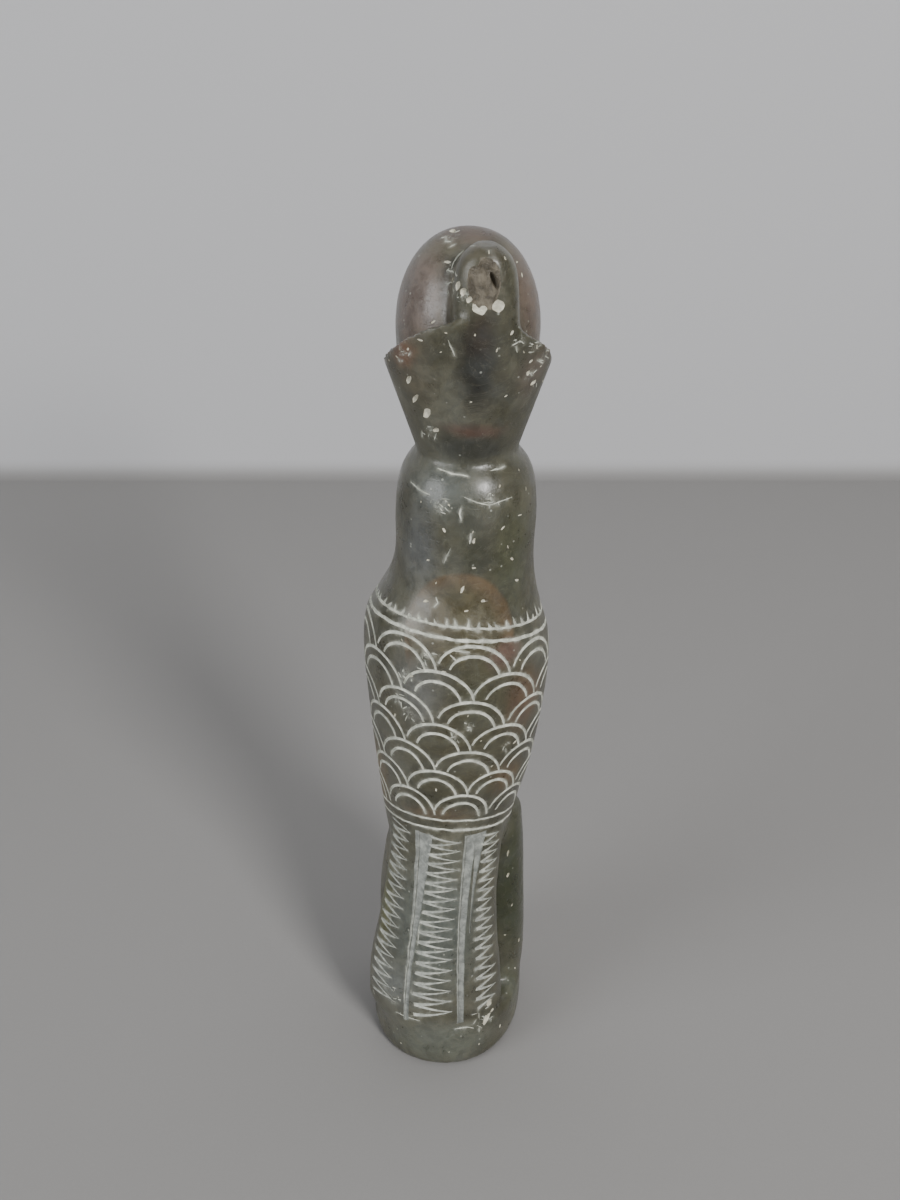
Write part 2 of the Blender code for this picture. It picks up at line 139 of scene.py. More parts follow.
def level(share):
    """A share of the figure's height as a height above the table."""
    return PLINTH_HEIGHT + share * (STATUE_HEIGHT - PLINTH_HEIGHT)


def as_share(length):
    return length / (STATUE_HEIGHT - PLINTH_HEIGHT)


def read_stations(stations, height):
    """A smooth curve through the stations' values, read at one height."""
    last = len(stations) - 1
    k = max([i for i in range(last) if stations[i][0] <= height], default=0)
    low, high = stations[k], stations[k + 1]
    before, after = stations[max(k - 1, 0)], stations[min(k + 2, last)]
    span = high[0] - low[0]
    t = (height - low[0]) / span
    values = []
    for a, b, c, d in zip(before[1:], low[1:], high[1:], after[1:]):
        slope_low = (c - a) / (high[0] - before[0]) * span
        slope_high = (d - b) / (after[0] - low[0]) * span
        bend = 3 * (c - b) - 2 * slope_low - slope_high
        twist = slope_low + slope_high - 2 * (c - b)
        values.append(b + t * (slope_low + t * (bend + t * twist)))
    return values


def spread(low, high, count):
    """Evenly spread values, both ends among them."""
    return [low + (high - low) * k / (count - 1) for k in range(count)]


def around(sides):
    return [2 * pi * i / sides for i in range(sides)]


def rounded(angle, squareness):
    """A point of a unit superellipse: 2 is a circle, more is squarer."""
    parts = (cos(angle), sin(angle))
    return tuple(copysign(abs(part) ** (2 / squareness), part) for part in parts)


def outline(sides, squareness=2):
    return [rounded(angle, squareness) for angle in around(sides)]


def body_point(height, angle):
    """A point of the body's surface. Angle 0 is +X, a quarter turn is the back, +Y."""
    width, back, front, tilt, roll, lean_share = read_stations(BODY_STATIONS, height)
    lean = LEAN_AT_WAIST + (LEAN_AT_CROWN - LEAN_AT_WAIST) * lean_share
    depth = back if sin(angle) > 0 else front
    across = cos(angle) * width * BODY_WIDTH / 2
    behind = sin(angle) * depth * BODY_DEPTH / 2
    tilt, roll = radians(tilt), radians(roll)
    z = level(height) + behind * sin(tilt) + across * sin(roll)
    return Vector((across - lean, BODY_SET_BACK + behind * cos(tilt), z))


def as_mesh(bm, name):
    mesh = bpy.data.meshes.new(name)
    bm.to_mesh(mesh)
    bm.free()
    return mesh


rough_forms = []


def shell(name, rings):
    """A closed form skinned over a row of rings, kept for the block."""
    bm = bmesh.new()
    rows = [[bm.verts.new(p) for p in ring] for ring in rings]
    count = len(rings[0])
    for lower, upper in zip(rows, rows[1:]):
        for i in range(count):
            j = (i + 1) % count
            bm.faces.new((lower[i], lower[j], upper[j], upper[i]))
    bm.faces.new(list(reversed(rows[0])))
    bm.faces.new(rows[-1])
    bmesh.ops.recalc_face_normals(bm, faces=bm.faces)
    rough_forms.append(as_mesh(bm, name))


shell(
    "body_and_head",
    [
        [body_point(height, angle) for angle in around(96)]
        for height in spread(BODY_STATIONS[0][0], BODY_STATIONS[-1][0], 110)
    ],
)

# The plinth: the low oval foot of the statue, cut from the same block of soapstone. Its sides
# are upright, and its upper edge and its foot are rubbed round.
PLINTH_LENGTH = 0.070
PLINTH_WIDTH = 0.0560
PLINTH_EDGE = 0.0022
PLINTH_SQUARENESS = 2.15
STRAIGHT_SHARE, ROUNDED_SHARE = 0.72, 0.28
plinth_rings = []
for share in spread(0.0, 1.0, 19):
    near_edge = max(0.0, abs(share - 0.5) * 2 - STRAIGHT_SHARE) / ROUNDED_SHARE
    inset = (1 - sqrt(max(0.0, 1 - near_edge**2))) * PLINTH_EDGE
    half_width, half_length = PLINTH_WIDTH / 2 - inset, PLINTH_LENGTH / 2 - inset
    z = share * PLINTH_HEIGHT
    plinth_rings.append(
        [Vector((x * half_width, y * half_length, z)) for x, y in outline(120, PLINTH_SQUARENESS)]
    )
shell("plinth", plinth_rings)

# The legs and toes: two square-cornered columns that touch in the middle, left thick so that
# the soft stone could carry the bird, each with three blunt toes at the plinth's front edge.
LEGS_WIDTH = 0.0560
LEG_OVERLAP = 0.0024
LEG_DEPTH = 0.0290
LEG_SET_BACK = -0.0065
LEG_SQUARENESS = 2.7
TOES_ON_A_FOOT = 3
TOE_LENGTH = 0.0150
TOE_WIDTH = 0.0078
# Height share; outer width shares of the left and right leg; depth share.
LEG_STATIONS = (
    (-0.020, 0.900, 0.980, 1.060),
    (0.015, 0.920, 1.010, 1.000),
    (0.070, 0.950, 1.010, 0.900),
    (0.130, 0.930, 0.990, 0.880),
    (0.200, 0.840, 0.965, 0.940),
    (0.240, 0.730, 0.935, 0.900),
    (0.264, 0.670, 0.900, 0.680),
    (0.277, 0.560, 0.740, 0.500),
)
for name, side, column in (("leg_left", 1, 0), ("leg_right", -1, 1)):
    leg_rings = []
    for height in spread(LEG_STATIONS[0][0], LEG_STATIONS[-1][0], 50):
        values = read_stations(LEG_STATIONS, height)
        outer = values[column] * LEGS_WIDTH / 2
        middle = side * (outer - LEG_OVERLAP / 2) / 2
        half_width = (outer + LEG_OVERLAP / 2) / 2
        ring = []
        for x, y in outline(48, LEG_SQUARENESS):
            behind = LEG_SET_BACK + y * values[2] * LEG_DEPTH / 2
            ring.append(Vector((middle + x * half_width, behind, level(height))))
        leg_rings.append(ring)
    shell(name, leg_rings)

for side in (-1, 1):
    for k in range(TOES_ON_A_FOOT):
        x = side * LEGS_WIDTH * 0.225 + (k - (TOES_ON_A_FOOT - 1) / 2) * TOE_WIDTH * 0.92
        share = min(abs(x) / (PLINTH_WIDTH / 2), 0.98)
        edge = PLINTH_LENGTH / 2 * (1 - share**PLINTH_SQUARENESS) ** (1 / PLINTH_SQUARENESS)
        centre = Vector((x, TOE_LENGTH / 2 - edge * 0.93, PLINTH_HEIGHT + TOE_WIDTH * 0.10))
        toe_rings = []
        for t in spread(-0.98, 0.98, 20):
            round_off = sqrt(1 - t**2)
            ring = []
            for x, z in outline(24):
                across = x * round_off * TOE_WIDTH * 0.49
                up = z * round_off * TOE_WIDTH * 0.62 + t * TOE_LENGTH * 0.08
                ring.append(centre + Vector((across, t * TOE_LENGTH / 2, up)))
            toe_rings.append(ring)
        shell(f"toe_{side}_{k}", toe_rings)

# The tail: a long bowed slab that drops from the waist to the plinth's rear edge, wide and
# flared at the foot. Only its top and its foot are joined to the rest of the stone.
TAIL_WIDTH = 0.0496
TAIL_THICKNESS = 0.0100
TAIL_CURVE = 0.0120
TAIL_OFFSET = 0.0021
TAIL_DRIFT = 0.0043
TAIL_SQUARENESS = 3.2
# Height share; width, drift and curve shares; distance of the outer face behind the middle.
TAIL_STATIONS = (
    (-0.045, 0.760, 0.60, 1.30, 0.0335),
    (-0.002, 0.980, 1.00, 1.00, 0.0346),
    (0.020, 1.000, 1.00, 1.00, 0.0346),
    (0.075, 0.960, 0.95, 0.92, 0.0337),
    (0.135, 0.870, 0.75, 0.80, 0.0320),
    (0.200, 0.800, 0.45, 0.72, 0.0298),
    (0.260, 0.790, 0.20, 0.74, 0.0272),
    (0.312, 0.800, 0.00, 0.78, 0.0248),
)


def tail_point(height, angle):
    width, drift, curve, face = read_stations(TAIL_STATIONS, height)
    across, behind = rounded(angle, TAIL_SQUARENESS)
    x = across * width * TAIL_WIDTH / 2 + drift * TAIL_DRIFT - TAIL_OFFSET
    y = face + (behind - 1) * TAIL_THICKNESS / 2 - curve * TAIL_CURVE * across**2
    return Vector((x, y, level(height)))


def face_angle(across):
    """The angle of a point of the tail's outer face, across from -1 to 1 of its half width."""
    return acos(copysign(abs(across) ** (TAIL_SQUARENESS / 2), across))


def tail_face(height, across):
    return tail_point(height, face_angle(across))


tail_spread = [sin(pi / 2 * t) for t in spread(1.0, -1.0, 49)]
outer_angles = [face_angle(across) for across in tail_spread]
inner_angles = [-face_angle(across) for across in tail_spread[-2:0:-1]]
shell(
    "tail",
    [
        [tail_point(height, angle) for angle in outer_angles + inner_angles]
        for height in spread(TAIL_STATIONS[0][0], TAIL_STATIONS[-1][0], 70)
    ],
)

# The red crown: a straight-sided flare with a thin lip, turned a little on the head. Its rim
# climbs from the front to the rear post.
NECK_JOINT = 0.7710
CUP_RIM = 0.869
NECK_JOINT_WIDTH = 0.0302
CUP_RIM_WIDTH = 0.0486
CUP_LIP = 0.0030
CUP_REAR_RISE = 0.0180
CUP_REAR_REACH = 0.0262
CROWN_TURN = radians(9)


def crown_point(across, behind, z):
    """A point of the crown, which is turned a little about its own upright axis."""
    c, s = cos(CROWN_TURN), sin(CROWN_TURN)
    x = across * c - behind * s - LEAN_AT_CROWN
    return Vector((x, across * s + behind * c + BODY_SET_BACK, z))


def rim_height(angle):
    return level(CUP_RIM) + CUP_REAR_RISE * max(0.0, sin(angle)) ** 1.4


def cup_radius(angle, z):
    """The red crown's outside: it flares less towards its tall rear than at its sides."""
    joint = level(NECK_JOINT)
    foot = NECK_JOINT_WIDTH / 2
    side_flare = (CUP_RIM_WIDTH / 2 - foot) / (level(CUP_RIM) - joint)
    rear_flare = (CUP_REAR_REACH - foot) / (level(CUP_RIM) + CUP_REAR_RISE - joint)
    rear_share = max(0.0, sin(angle)) ** 2
    return foot + (z - joint) * (side_flare + (rear_flare - side_flare) * rear_share)


EGG_WIDTH = 0.0414
EGG_DEPTH = 0.0390
cup_rings = []
for share in spread(-0.12, 1.0, 40):
    ring = []
    for angle in around(120):
        z = level(NECK_JOINT) + share * (rim_height(angle) - level(NECK_JOINT))
        radius = cup_radius(angle, z)
        ring.append(crown_point(cos(angle) * radius, sin(angle) * radius, z))
    cup_rings.append(ring)
for inset, drop in ((0.5, -0.06), (0.85, 0.10), (1.0, 0.45), (1.05, 1.4)):
    ring = []
    for angle in around(120):
        top = rim_height(angle)
        radius = cup_radius(angle, top) - CUP_LIP * inset
        z = top - CUP_LIP * drop
        ring.append(crown_point(cos(angle) * radius, sin(angle) * radius, z))
    cup_rings.append(ring)
cup_floor = level(CUP_RIM) - CUP_LIP * 2.5
cup_rings.append(
    [crown_point(x * EGG_WIDTH * 0.3, y * EGG_DEPTH * 0.3, cup_floor) for x, y in outline(120)]
)
shell("red_crown", cup_rings)

# The white crown: a full egg of the same stone, left standing when the cup was cut round it.
# Its foot is hidden in the cup, and its top is a little blunter than an ellipse's.
EGG_SQUARENESS = 2.15
EGG_GAP_TO_TOP = 0.0002
egg_foot = level(CUP_RIM) - CUP_LIP * 4
egg_shoulder = level(CUP_RIM) + (STATUE_HEIGHT - level(CUP_RIM)) * 0.22
egg_profile = [
    (egg_foot + (egg_shoulder - egg_foot) * t, 0.955 + 0.045 * t) for t in spread(0, 1, 9)
]
for k in range(1, 40):
    rise = sin(pi / 2 * k / 40)
    z = egg_shoulder + rise * (STATUE_HEIGHT - EGG_GAP_TO_TOP - egg_shoulder)
    egg_profile.append((z, (1 - rise**EGG_SQUARENESS) ** (1 / EGG_SQUARENESS)))
egg_rings = [
    [crown_point(x * EGG_WIDTH / 2 * size, y * EGG_DEPTH / 2 * size, z) for x, y in outline(96)]
    for z, size in egg_profile
]
shell("white_crown", egg_rings)

# The rear post of the red crown: a thick round-cornered finger that leans on the egg. Its
# curling tip was knocked off long ago, and the top was rubbed round again.
POST_WIDTH = 0.0186
POST_DEPTH = 0.0150
POST_OFFSET = 0.0040
POST_SQUARENESS = 2.3
# Share of the height above the rim; size share; how deep it is sunk in the cup's wall.
POST_STATIONS = (
    (-0.28, 0.50, 0.0078),
    (0.15, 1.00, 0.0010),
    (0.60, 0.97, 0.0),
    (0.80, 0.90, 0.0),
    (0.92, 0.70, 0.0),
    (1.00, 0.30, 0.0),
)
post_rings = []
for share in spread(-0.28, 0.995, 44):
    size, sunk = read_stations(POST_STATIONS, share)
    z = level(CUP_RIM) + (STATUE_HEIGHT - level(CUP_RIM)) * share
    rear = min(cup_radius(pi / 2, z), CUP_REAR_REACH) - sunk
    ring = []
    for x, y in outline(64, POST_SQUARENESS):
        behind = rear + (y * (0.4 + 0.6 * size) - 1) * POST_DEPTH / 2
        ring.append(crown_point(x * size * POST_WIDTH / 2 - POST_OFFSET, behind, z))
    post_rings.append(ring)
shell("rear_post", post_rings)

# The beak, on the side that the photograph hides: a plain hooked falcon's beak, wide at the
# cheeks and cut from the same block as the head.
BEAK_LENGTH = 0.0130
BEAK_WIDTH = 0.0150
BEAK_LEVEL = 0.690
BEAK_HOOK = radians(65)
beak_root = body_point(BEAK_LEVEL, -pi / 2)
beak_rings = []
for share in spread(0.0, 1.0, 30):
    size = 1 - share**1.5 * 0.84
    reach = BEAK_LENGTH * (sin(share * pi / 2) * 1.3 - 0.3)
    drop = BEAK_LENGTH * (0.08 * share + 0.60 * share**3)
    pitch = BEAK_HOOK * share**2
    ring = []
    for x, z in outline(32):
        across, up = x * size * BEAK_WIDTH / 2, z * size * BEAK_WIDTH * 0.52
        behind = -reach - up * sin(pitch)
        ring.append(beak_root + Vector((across, behind, up * cos(pitch) - drop)))
    beak_rings.append(ring)
shell("beak", beak_rings)

# The block: all the forms melt into one stone, and hand sanding rounds every corner where
# one form meets the next.
GRAIN_OF_MESH = 0.00118
SANDING_PASSES = 5
FACETS_PER_METRE = 60
FACET_DEPTH = 0.00015
block_bm = bmesh.new()
for mesh in rough_forms:
    block_bm.from_mesh(mesh)
block = put("block", as_mesh(block_bm, "block"))
melt = block.modifiers.new("melt", "REMESH")
melt.mode = "VOXEL"
melt.voxel_size = GRAIN_OF_MESH
sanding = block.modifiers.new("sanding", "SMOOTH")
sanding.factor = 0.5
sanding.iterations = SANDING_PASSES


def as_evaluated(obj):
    """The object's mesh with its modifiers applied."""
    graph = bpy.context.evaluated_depsgraph_get()
    return bpy.data.meshes.new_from_object(obj.evaluated_get(graph))


stone = as_evaluated(block)
bpy.data.objects.remove(block)
count = len(stone.vertices)
places, normals = np.empty(count * 3), np.empty(count * 3)
stone.vertices.foreach_get("co", places)
stone.vertex_normals.foreach_get("vector", normals)
places, normals = places.reshape(-1, 3), normals.reshape(-1, 3)
facets = [max(0.0, noise.noise(Vector(place) * FACETS_PER_METRE)) for place in places]
places -= normals * np.array(facets)[:, None] * FACET_DEPTH
places = places.clip(*(np.array(corner) for corner in cad_box))
stone.vertices.foreach_set("co", places.ravel())
stone.update()
surface = BVHTree.FromPolygons(
    [v.co.copy() for v in stone.vertices], [tuple(p.vertices) for p in stone.polygons]
)

# The scratching tool: a burin that leaves a shallow U-shaped line, thick in its middle and
# thin where it was lifted. Its path is laid on the stone and follows it.
LINE_WIDTH = 0.00112
LINE_DEPTH = 0.00042
tools = {}
line_dust = []
hand = random.Random(11)


def on_stone(point):
    """The nearest point of the stone and its outward normal."""
    place, normal, _, _ = surface.find_nearest(point)
    return place, normal


def follow(spots, count):
    """Points and normals of the stone along a path, evenly spread."""
    lengths = [0.0]
    for a, b in zip(spots, spots[1:]):
        lengths.append(lengths[-1] + (b - a).length)
    places = []
    for k in range(count):
        at = lengths[-1] * k / (count - 1)
        i = max(0, min(len(spots) - 2, sum(1 for length in lengths if length <= at) - 1))
        piece = max(lengths[i + 1] - lengths[i], 1e-9)
        places.append(on_stone(spots[i].lerp(spots[i + 1], (at - lengths[i]) / piece)))
    return places


def skin_over(bm, rows, closed=False):
    """The faces of one groove's tool, over its rows of corners."""
    faces = []
    pairs = list(zip(rows, rows[1:])) + ([(rows[-1], rows[0])] if closed else [])
    for lower, upper in pairs:
        for a in range(len(lower)):
            b = (a + 1) % len(lower)
            faces.append(bm.faces.new((lower[a], lower[b], upper[b], upper[a])))
    if not closed:
        faces += [bm.faces.new(list(reversed(rows[0]))), bm.faces.new(rows[-1])]
    turn_outwards(faces)


def turn_outwards(faces):
    """Turns the faces of one closed tool outwards, by the sign of the volume they enclose."""
    faces = list(faces)
    start = faces[0].verts[0].co.copy()
    volume = 0.0
    for face in faces:
        corners = [v.co - start for v in face.verts]
        volume += sum(corners[0].dot(b.cross(c)) for b, c in zip(corners[1:], corners[2:]))
    if volume < 0:
        for face in faces:
            face.normal_flip()


def scratch(tool, places, width, depth, taper=0.35, closed=False, waver=0.18, wedge=False):
    """Adds one groove to a tool's mesh, with a hand's unevenness in its width and depth."""
    if tool not in tools:
        tools[tool] = bmesh.new()
    bm = tools[tool]
    last = len(places) - 1
    phase = hand.uniform(0, 50)
    normals = []
    for i in range(len(places)):
        near = [places[j % len(places)] for j in range(i - 1, i + 2) if closed or 0 <= j <= last]
        normals.append(sum((n for _, n in near), Vector()).normalized())
    rows = []
    for i, (point, _) in enumerate(places):
        normal = normals[i]
        behind = places[i - 1][0] if closed or i > 0 else point
        ahead = places[(i + 1) % len(places)][0] if closed or i < last else point
        side = normal.cross(ahead - behind).normalized()
        swell = 1.0
        if not closed:
            swell = taper + (1 - taper) * sin(pi * (i + 0.2) / (last + 0.4)) ** 0.6
        if wedge:
            swell = 1 - (1 - taper) * i / last
        uneven = 1 + waver * noise.noise(Vector((phase, i * 0.55, 0)))
        half = width / 2 * swell * uneven
        deep = depth * (0.35 + 0.65 * swell) * uneven
        shift = side * noise.noise(Vector((i * 0.4, phase, 3))) * width * waver * 0.9
        base = point + shift
        corners = (
            base + side * half * 1.25 + normal * deep * 0.5,
            base + side * half * 0.45 - normal * deep,
            base - side * half * 0.45 - normal * deep,
            base - side * half * 1.25 + normal * deep * 0.5,
        )
        rows.append([bm.verts.new(corner) for corner in corners])
        line_dust.append((base, half))
    skin_over(bm, rows, closed)


# The two belts: a pair of lines round the shoulders and a pair round the waist. A row of
# small upright teeth stands on the shoulder belt, like the fringe of a collar.
SHOULDER_BAND = 0.579
WAIST_BAND = 0.297
BAND_HEIGHT = 0.0042
BAND_WANDER = 0.0012
TEETH = 52
for height in (SHOULDER_BAND, WAIST_BAND):
    for side in (-0.5, 0.5):
        ring = []
        for angle in around(140):
            wander = noise.noise(Vector((angle, height * 9, side))) * BAND_WANDER
            ring.append(body_point(height + side * as_share(BAND_HEIGHT) + wander, angle))
        width = LINE_WIDTH * (0.95 if (height, side) == (SHOULDER_BAND, -0.5) else 0.72)
        scratch("belts", [on_stone(p) for p in ring], width, LINE_DEPTH, closed=True, waver=0.4)
tooth_foot = SHOULDER_BAND + as_share(BAND_HEIGHT / 2)
for k in range(TEETH):
    angle = 2 * pi * (k + hand.uniform(-0.16, 0.16)) / TEETH
    reach = as_share(hand.uniform(0.0015, 0.0034))
    lean = hand.uniform(-0.045, 0.02)
    spots = [body_point(tooth_foot + reach * t, angle + lean * t) for t in (0.0, 0.5, 1.0)]
    width = LINE_WIDTH * hand.uniform(1.0, 1.7)
    scratch(f"teeth_{k % 2}", follow(spots, 4), width, LINE_DEPTH * 1.1, taper=0.12, wedge=True)

# The feathers: seven staggered rows of double arches scratched freehand all the way round,
# each arch running on a little longer on its right than on its left.
SCALES_IN_A_ROW = 8
SCALE_ROWS = 7
SCALES_TURN = radians(18)
GAP_TO_BELT = 0.0040
# Half width in columns; drop in rows; how far below the outer arch; degrees where it ends.
ARCHES = (("outer", 0.50, 1.14, 0.0, 8), ("inner", 0.33, 0.84, as_share(0.0037), 12))
scale_foot = WAIST_BAND + as_share(GAP_TO_BELT)
scale_head = SHOULDER_BAND - as_share(GAP_TO_BELT)
row_step = (scale_head - scale_foot) / SCALE_ROWS
column_step = 2 * pi / SCALES_IN_A_ROW
for row in range(SCALE_ROWS):
    for column in range(SCALES_IN_A_ROW):
        middle = SCALES_TURN + column_step * (column + 0.5 * (row % 2)) + hand.uniform(-0.02, 0.02)
        apex = scale_head - row_step * row + hand.uniform(-1, 1) * as_share(0.0004)
        for arch, half, drop, below, last_turn in ARCHES:
            half *= hand.uniform(0.95, 1.05)
            spots = []
            for sweep in spread(166, last_turn, 15):
                turn = radians(sweep)
                side_drop = drop * (0.86 if sweep > 90 else 1.0)
                height = apex - below - (1 - sin(turn)) * row_step * side_drop
                spots.append(body_point(height, middle + cos(turn) * column_step * half))
            tool = f"{arch}_{row % 2}_{column % 2}"
            scratch(tool, follow(spots, 15), LINE_WIDTH, LINE_DEPTH, taper=0.45)

# The tail feathers: two scraped quills, flat and wide at the waist, with a zigzag of barbs
# scratched between them and on both sides.
TAIL_CARVING_FOOT = 0.022
TAIL_CARVING_TOP = 0.302
QUILL_FOOT = TAIL_CARVING_FOOT - 0.012
QUILL_REACH = TAIL_CARVING_TOP - TAIL_CARVING_FOOT + 0.008
QUILL_SWELL = 2.8
# Across at foot and top, in half widths; width at foot and top; where up the tail it begins.
QUILLS = (
    (-0.46, -0.48, 0.0028, 0.0046, 0.0),
    (-0.60, -0.64, 0.0006, 0.0046, 0.5),
    (0.34, 0.33, 0.0022, 0.0074, 0.0),
)
QUILL_DEPTH = 0.0005
for quill, (foot_across, top_across, foot_width, top_width, foot_share) in enumerate(QUILLS):
    bm = tools[f"quills_{quill}"] = bmesh.new()
    rows = []
    ridge = []
    for t in spread(0.0, 1.0, 44):
        share = foot_share + (1 - foot_share) * t
        height = QUILL_FOOT + QUILL_REACH * share
        across = foot_across + (top_across - foot_across) * t
        point, normal = on_stone(tail_face(height, across))
        side = normal.cross(Vector((0, 0, 1))).normalized()
        half = (foot_width + (top_width - foot_width) * t**QUILL_SWELL) / 2
        half *= 1 + 0.16 * noise.noise(Vector((foot_across * 9, t * 14, 0)))
        corners = (
            point + side * half * 1.06 + normal * QUILL_DEPTH,
            point + side * half * 0.86 - normal * QUILL_DEPTH * 0.8,
            point - normal * QUILL_DEPTH * 1.2,
            point - side * half * 0.86 - normal * QUILL_DEPTH * 0.8,
            point - side * half * 1.06 + normal * QUILL_DEPTH,
        )
        rows.append([bm.verts.new(corner) for corner in corners])
        ridge.append(on_stone(point + side * half * 0.55))
    skin_over(bm, rows)
    if foot_share == 0:
        scratch(f"barbs_ridge_{quill}", ridge, LINE_WIDTH * 0.7, QUILL_DEPTH * 2.0, waver=0.5)

BARBS = 18
BARBS_WIDEN = 0.5
BARBS_END = 0.278
# Across, from -1 to 1 of the tail's half width, and how far below the quills' tops it starts.
BARB_COLUMNS = ((-0.94, -0.70, 0.010), (-0.32, 0.23, 0.006), (0.60, 0.93, 0.006))
for column, (inner, outer, start) in enumerate(BARB_COLUMNS):
    tips = [sum(1 + BARBS_WIDEN * j / (2 * BARBS) for j in range(k)) for k in range(2 * BARBS + 1)]
    for k in range(2 * BARBS):
        high, low = [
            TAIL_CARVING_TOP - start - (BARBS_END - start) * tips[k + j] / tips[-1] for j in (0, 1)
        ]
        ends = (inner, outer) if k % 2 else (outer, inner)
        near, far = [end + hand.uniform(-0.025, 0.025) for end in ends]
        spots = [
            tail_face(high + (low - high) * t, near + (far - near) * t) for t in spread(0, 1, 6)
        ]
        if near < far:
            spots.reverse()
        width = LINE_WIDTH * hand.uniform(0.9, 1.15) * (0.85 + 0.4 * k / (2 * BARBS))
        tool = f"barbs_{column}_{k % 2}"
        scratch(tool, follow(spots, 6), width, LINE_DEPTH, taper=0.2, wedge=True)

# The face, plain and finished like the rest: a ringed eye on each side and a falcon's cheek
# stripe below it, scratched with the same tool.
EYE_LEVEL = 0.703
EYE_DIAMETER = 0.0090
EYE_TURN = radians(50)
turn = 1 / (BODY_WIDTH / 2 * 0.71)
for side in (1, -1):
    middle = -pi / 2 + side * EYE_TURN
    for size in (1.0, 0.55):
        radius = EYE_DIAMETER / 2 * size
        ring = []
        for angle in around(28):
            height = EYE_LEVEL + as_share(radius * sin(angle))
            ring.append(on_stone(body_point(height, middle + radius * cos(angle) * turn)))
        scratch("eyes", ring, LINE_WIDTH * size, LINE_DEPTH, closed=True)
    radius = EYE_DIAMETER / 2
    spots = [
        body_point(EYE_LEVEL - as_share(radius * (1.5 + 2.4 * t)), middle + side * 0.18 * t**2)
        for t in spread(0.0, 1.0, 8)
    ]
    scratch("eyes", follow(spots, 12), LINE_WIDTH * 1.8, LINE_DEPTH * 1.4, taper=0.2)

# The knocks: chips on the crown's edges, bruises on the plinth's rim and small flecks on the
# body, where handling crushed the soft stone white, each where the photograph has it.
FOCAL_PIXELS = LENS / SENSOR * PHOTO_HEIGHT
camera_turn = camera.rotation_euler.to_matrix()


def seen_at(pixel_x, pixel_y):
    """The point of the stone under a pixel of the photograph, and its outward normal."""
    right, up = pixel_x - PHOTO_WIDTH / 2, PHOTO_HEIGHT / 2 - pixel_y
    ray = camera_turn @ Vector((right / FOCAL_PIXELS, up / FOCAL_PIXELS, -1))
    place, normal, _, _ = surface.ray_cast(camera.location, ray.normalized())
    return place, normal


def chip(tool, pixel_x, pixel_y, length, width, depth, turn=0.0):
    """A shallow flake: a lump with flat, broken faces is sunk into the surface."""
    place, normal = seen_at(pixel_x, pixel_y)
    if place is None:
        return
    if tool not in tools:
        tools[tool] = bmesh.new()
    bm = tools[tool]
    spin = Euler((0, 0, radians(turn))).to_quaternion()
    frame_turn = normal.to_track_quat("Z", "Y") @ spin
    corners = []
    for sides, reach, sink in ((9, 1.0, -0.4), (5, 0.55, 0.9)):
        for a in around(sides):
            a += hand.uniform(-0.3, 0.3)
            r = reach * hand.uniform(0.8, 1.45) / 2
            deep = depth * sink * hand.uniform(0.7, 1.2)
            local = Vector((cos(a) * r * length, sin(a) * r * width, -deep))
            corners.append(bm.verts.new(place + frame_turn @ local))
    hull = bmesh.ops.convex_hull(bm, input=corners)
    inner = {e for key in ("geom_interior", "geom_unused") for e in hull[key]}
    loose = [v for v in inner if isinstance(v, bmesh.types.BMVert) and not v.link_faces]
    bmesh.ops.delete(bm, geom=loose, context="VERTS")
    turn_outwards({face for corner in corners if corner.is_valid for face in corner.link_faces})


MM = 0.001
BRUISE_DEPTH = 0.5 * MM
FLECK_DEPTH = 0.22 * MM
# Pixel; length and width in millimetres; turn in degrees.
BRUISES = (
    (409, 380, 3.4, 1.5, 55), (415, 399, 4.2, 1.4, 50), (427, 413, 4.4, 2.2, 60),
    (436, 430, 2.2, 1.4, 30), (453, 231, 3.2, 2.0, 10), (479, 307, 4.8, 4.4, 0),
    (498, 306, 3.8, 4.4, 70), (453, 279, 2.4, 1.2, 70), (458, 286, 2.6, 1.8, 60),
    (463, 292, 2.8, 2.0, 50), (470, 299, 2.6, 1.6, 40), (533, 383, 2.4, 1.6, 20),
    (528, 373, 1.8, 1.2, 80), (371, 1007, 3.0, 1.6, 60), (376, 1013, 2.2, 1.2, 60),
    (489, 1003, 3.4, 2.6, 90), (486, 1019, 5.4, 1.7, 40), (492, 1010, 2.0, 1.2, 40),
    (508, 853, 2.6, 0.9, 80), (508, 875, 2.2, 1.0, 80), (519, 940, 1.6, 0.8, 70),
    (426, 601, 1.8, 1.0, 20),
)
for k, (pixel_x, pixel_y, length, width, turn) in enumerate(BRUISES):
    chip(f"bruises_{k % 3}", pixel_x, pixel_y, length * MM, width * MM, BRUISE_DEPTH, turn)
FLECKS = (
    (421, 502), (449, 505), (473, 532), (474, 541), (508, 547), (512, 559), (520, 515),
    (526, 489), (436, 583), (483, 601), (474, 568), (466, 611), (519, 470), (500, 486),
    (546, 352), (541, 366), (537, 347), (549, 371), (531, 361), (524, 352), (543, 381),
    (420, 340), (446, 333), (475, 335), (497, 350), (512, 333), (506, 396), (471, 402),
    (441, 352), (389, 360), (397, 357), (408, 349), (447, 262), (517, 262), (522, 275),
    (489, 252), (505, 258), (433, 322), (402, 640), (411, 676), (452, 742), (468, 716),
    (481, 741), (444, 672), (515, 742), (492, 766), (395, 715), (436, 790), (520, 660),
    (462, 590), (503, 528), (444, 530), (428, 560), (517, 580), (512, 905), (505, 935),
    (515, 968), (503, 820), (500, 1026), (401, 1043), (449, 1052), (479, 1044),
)
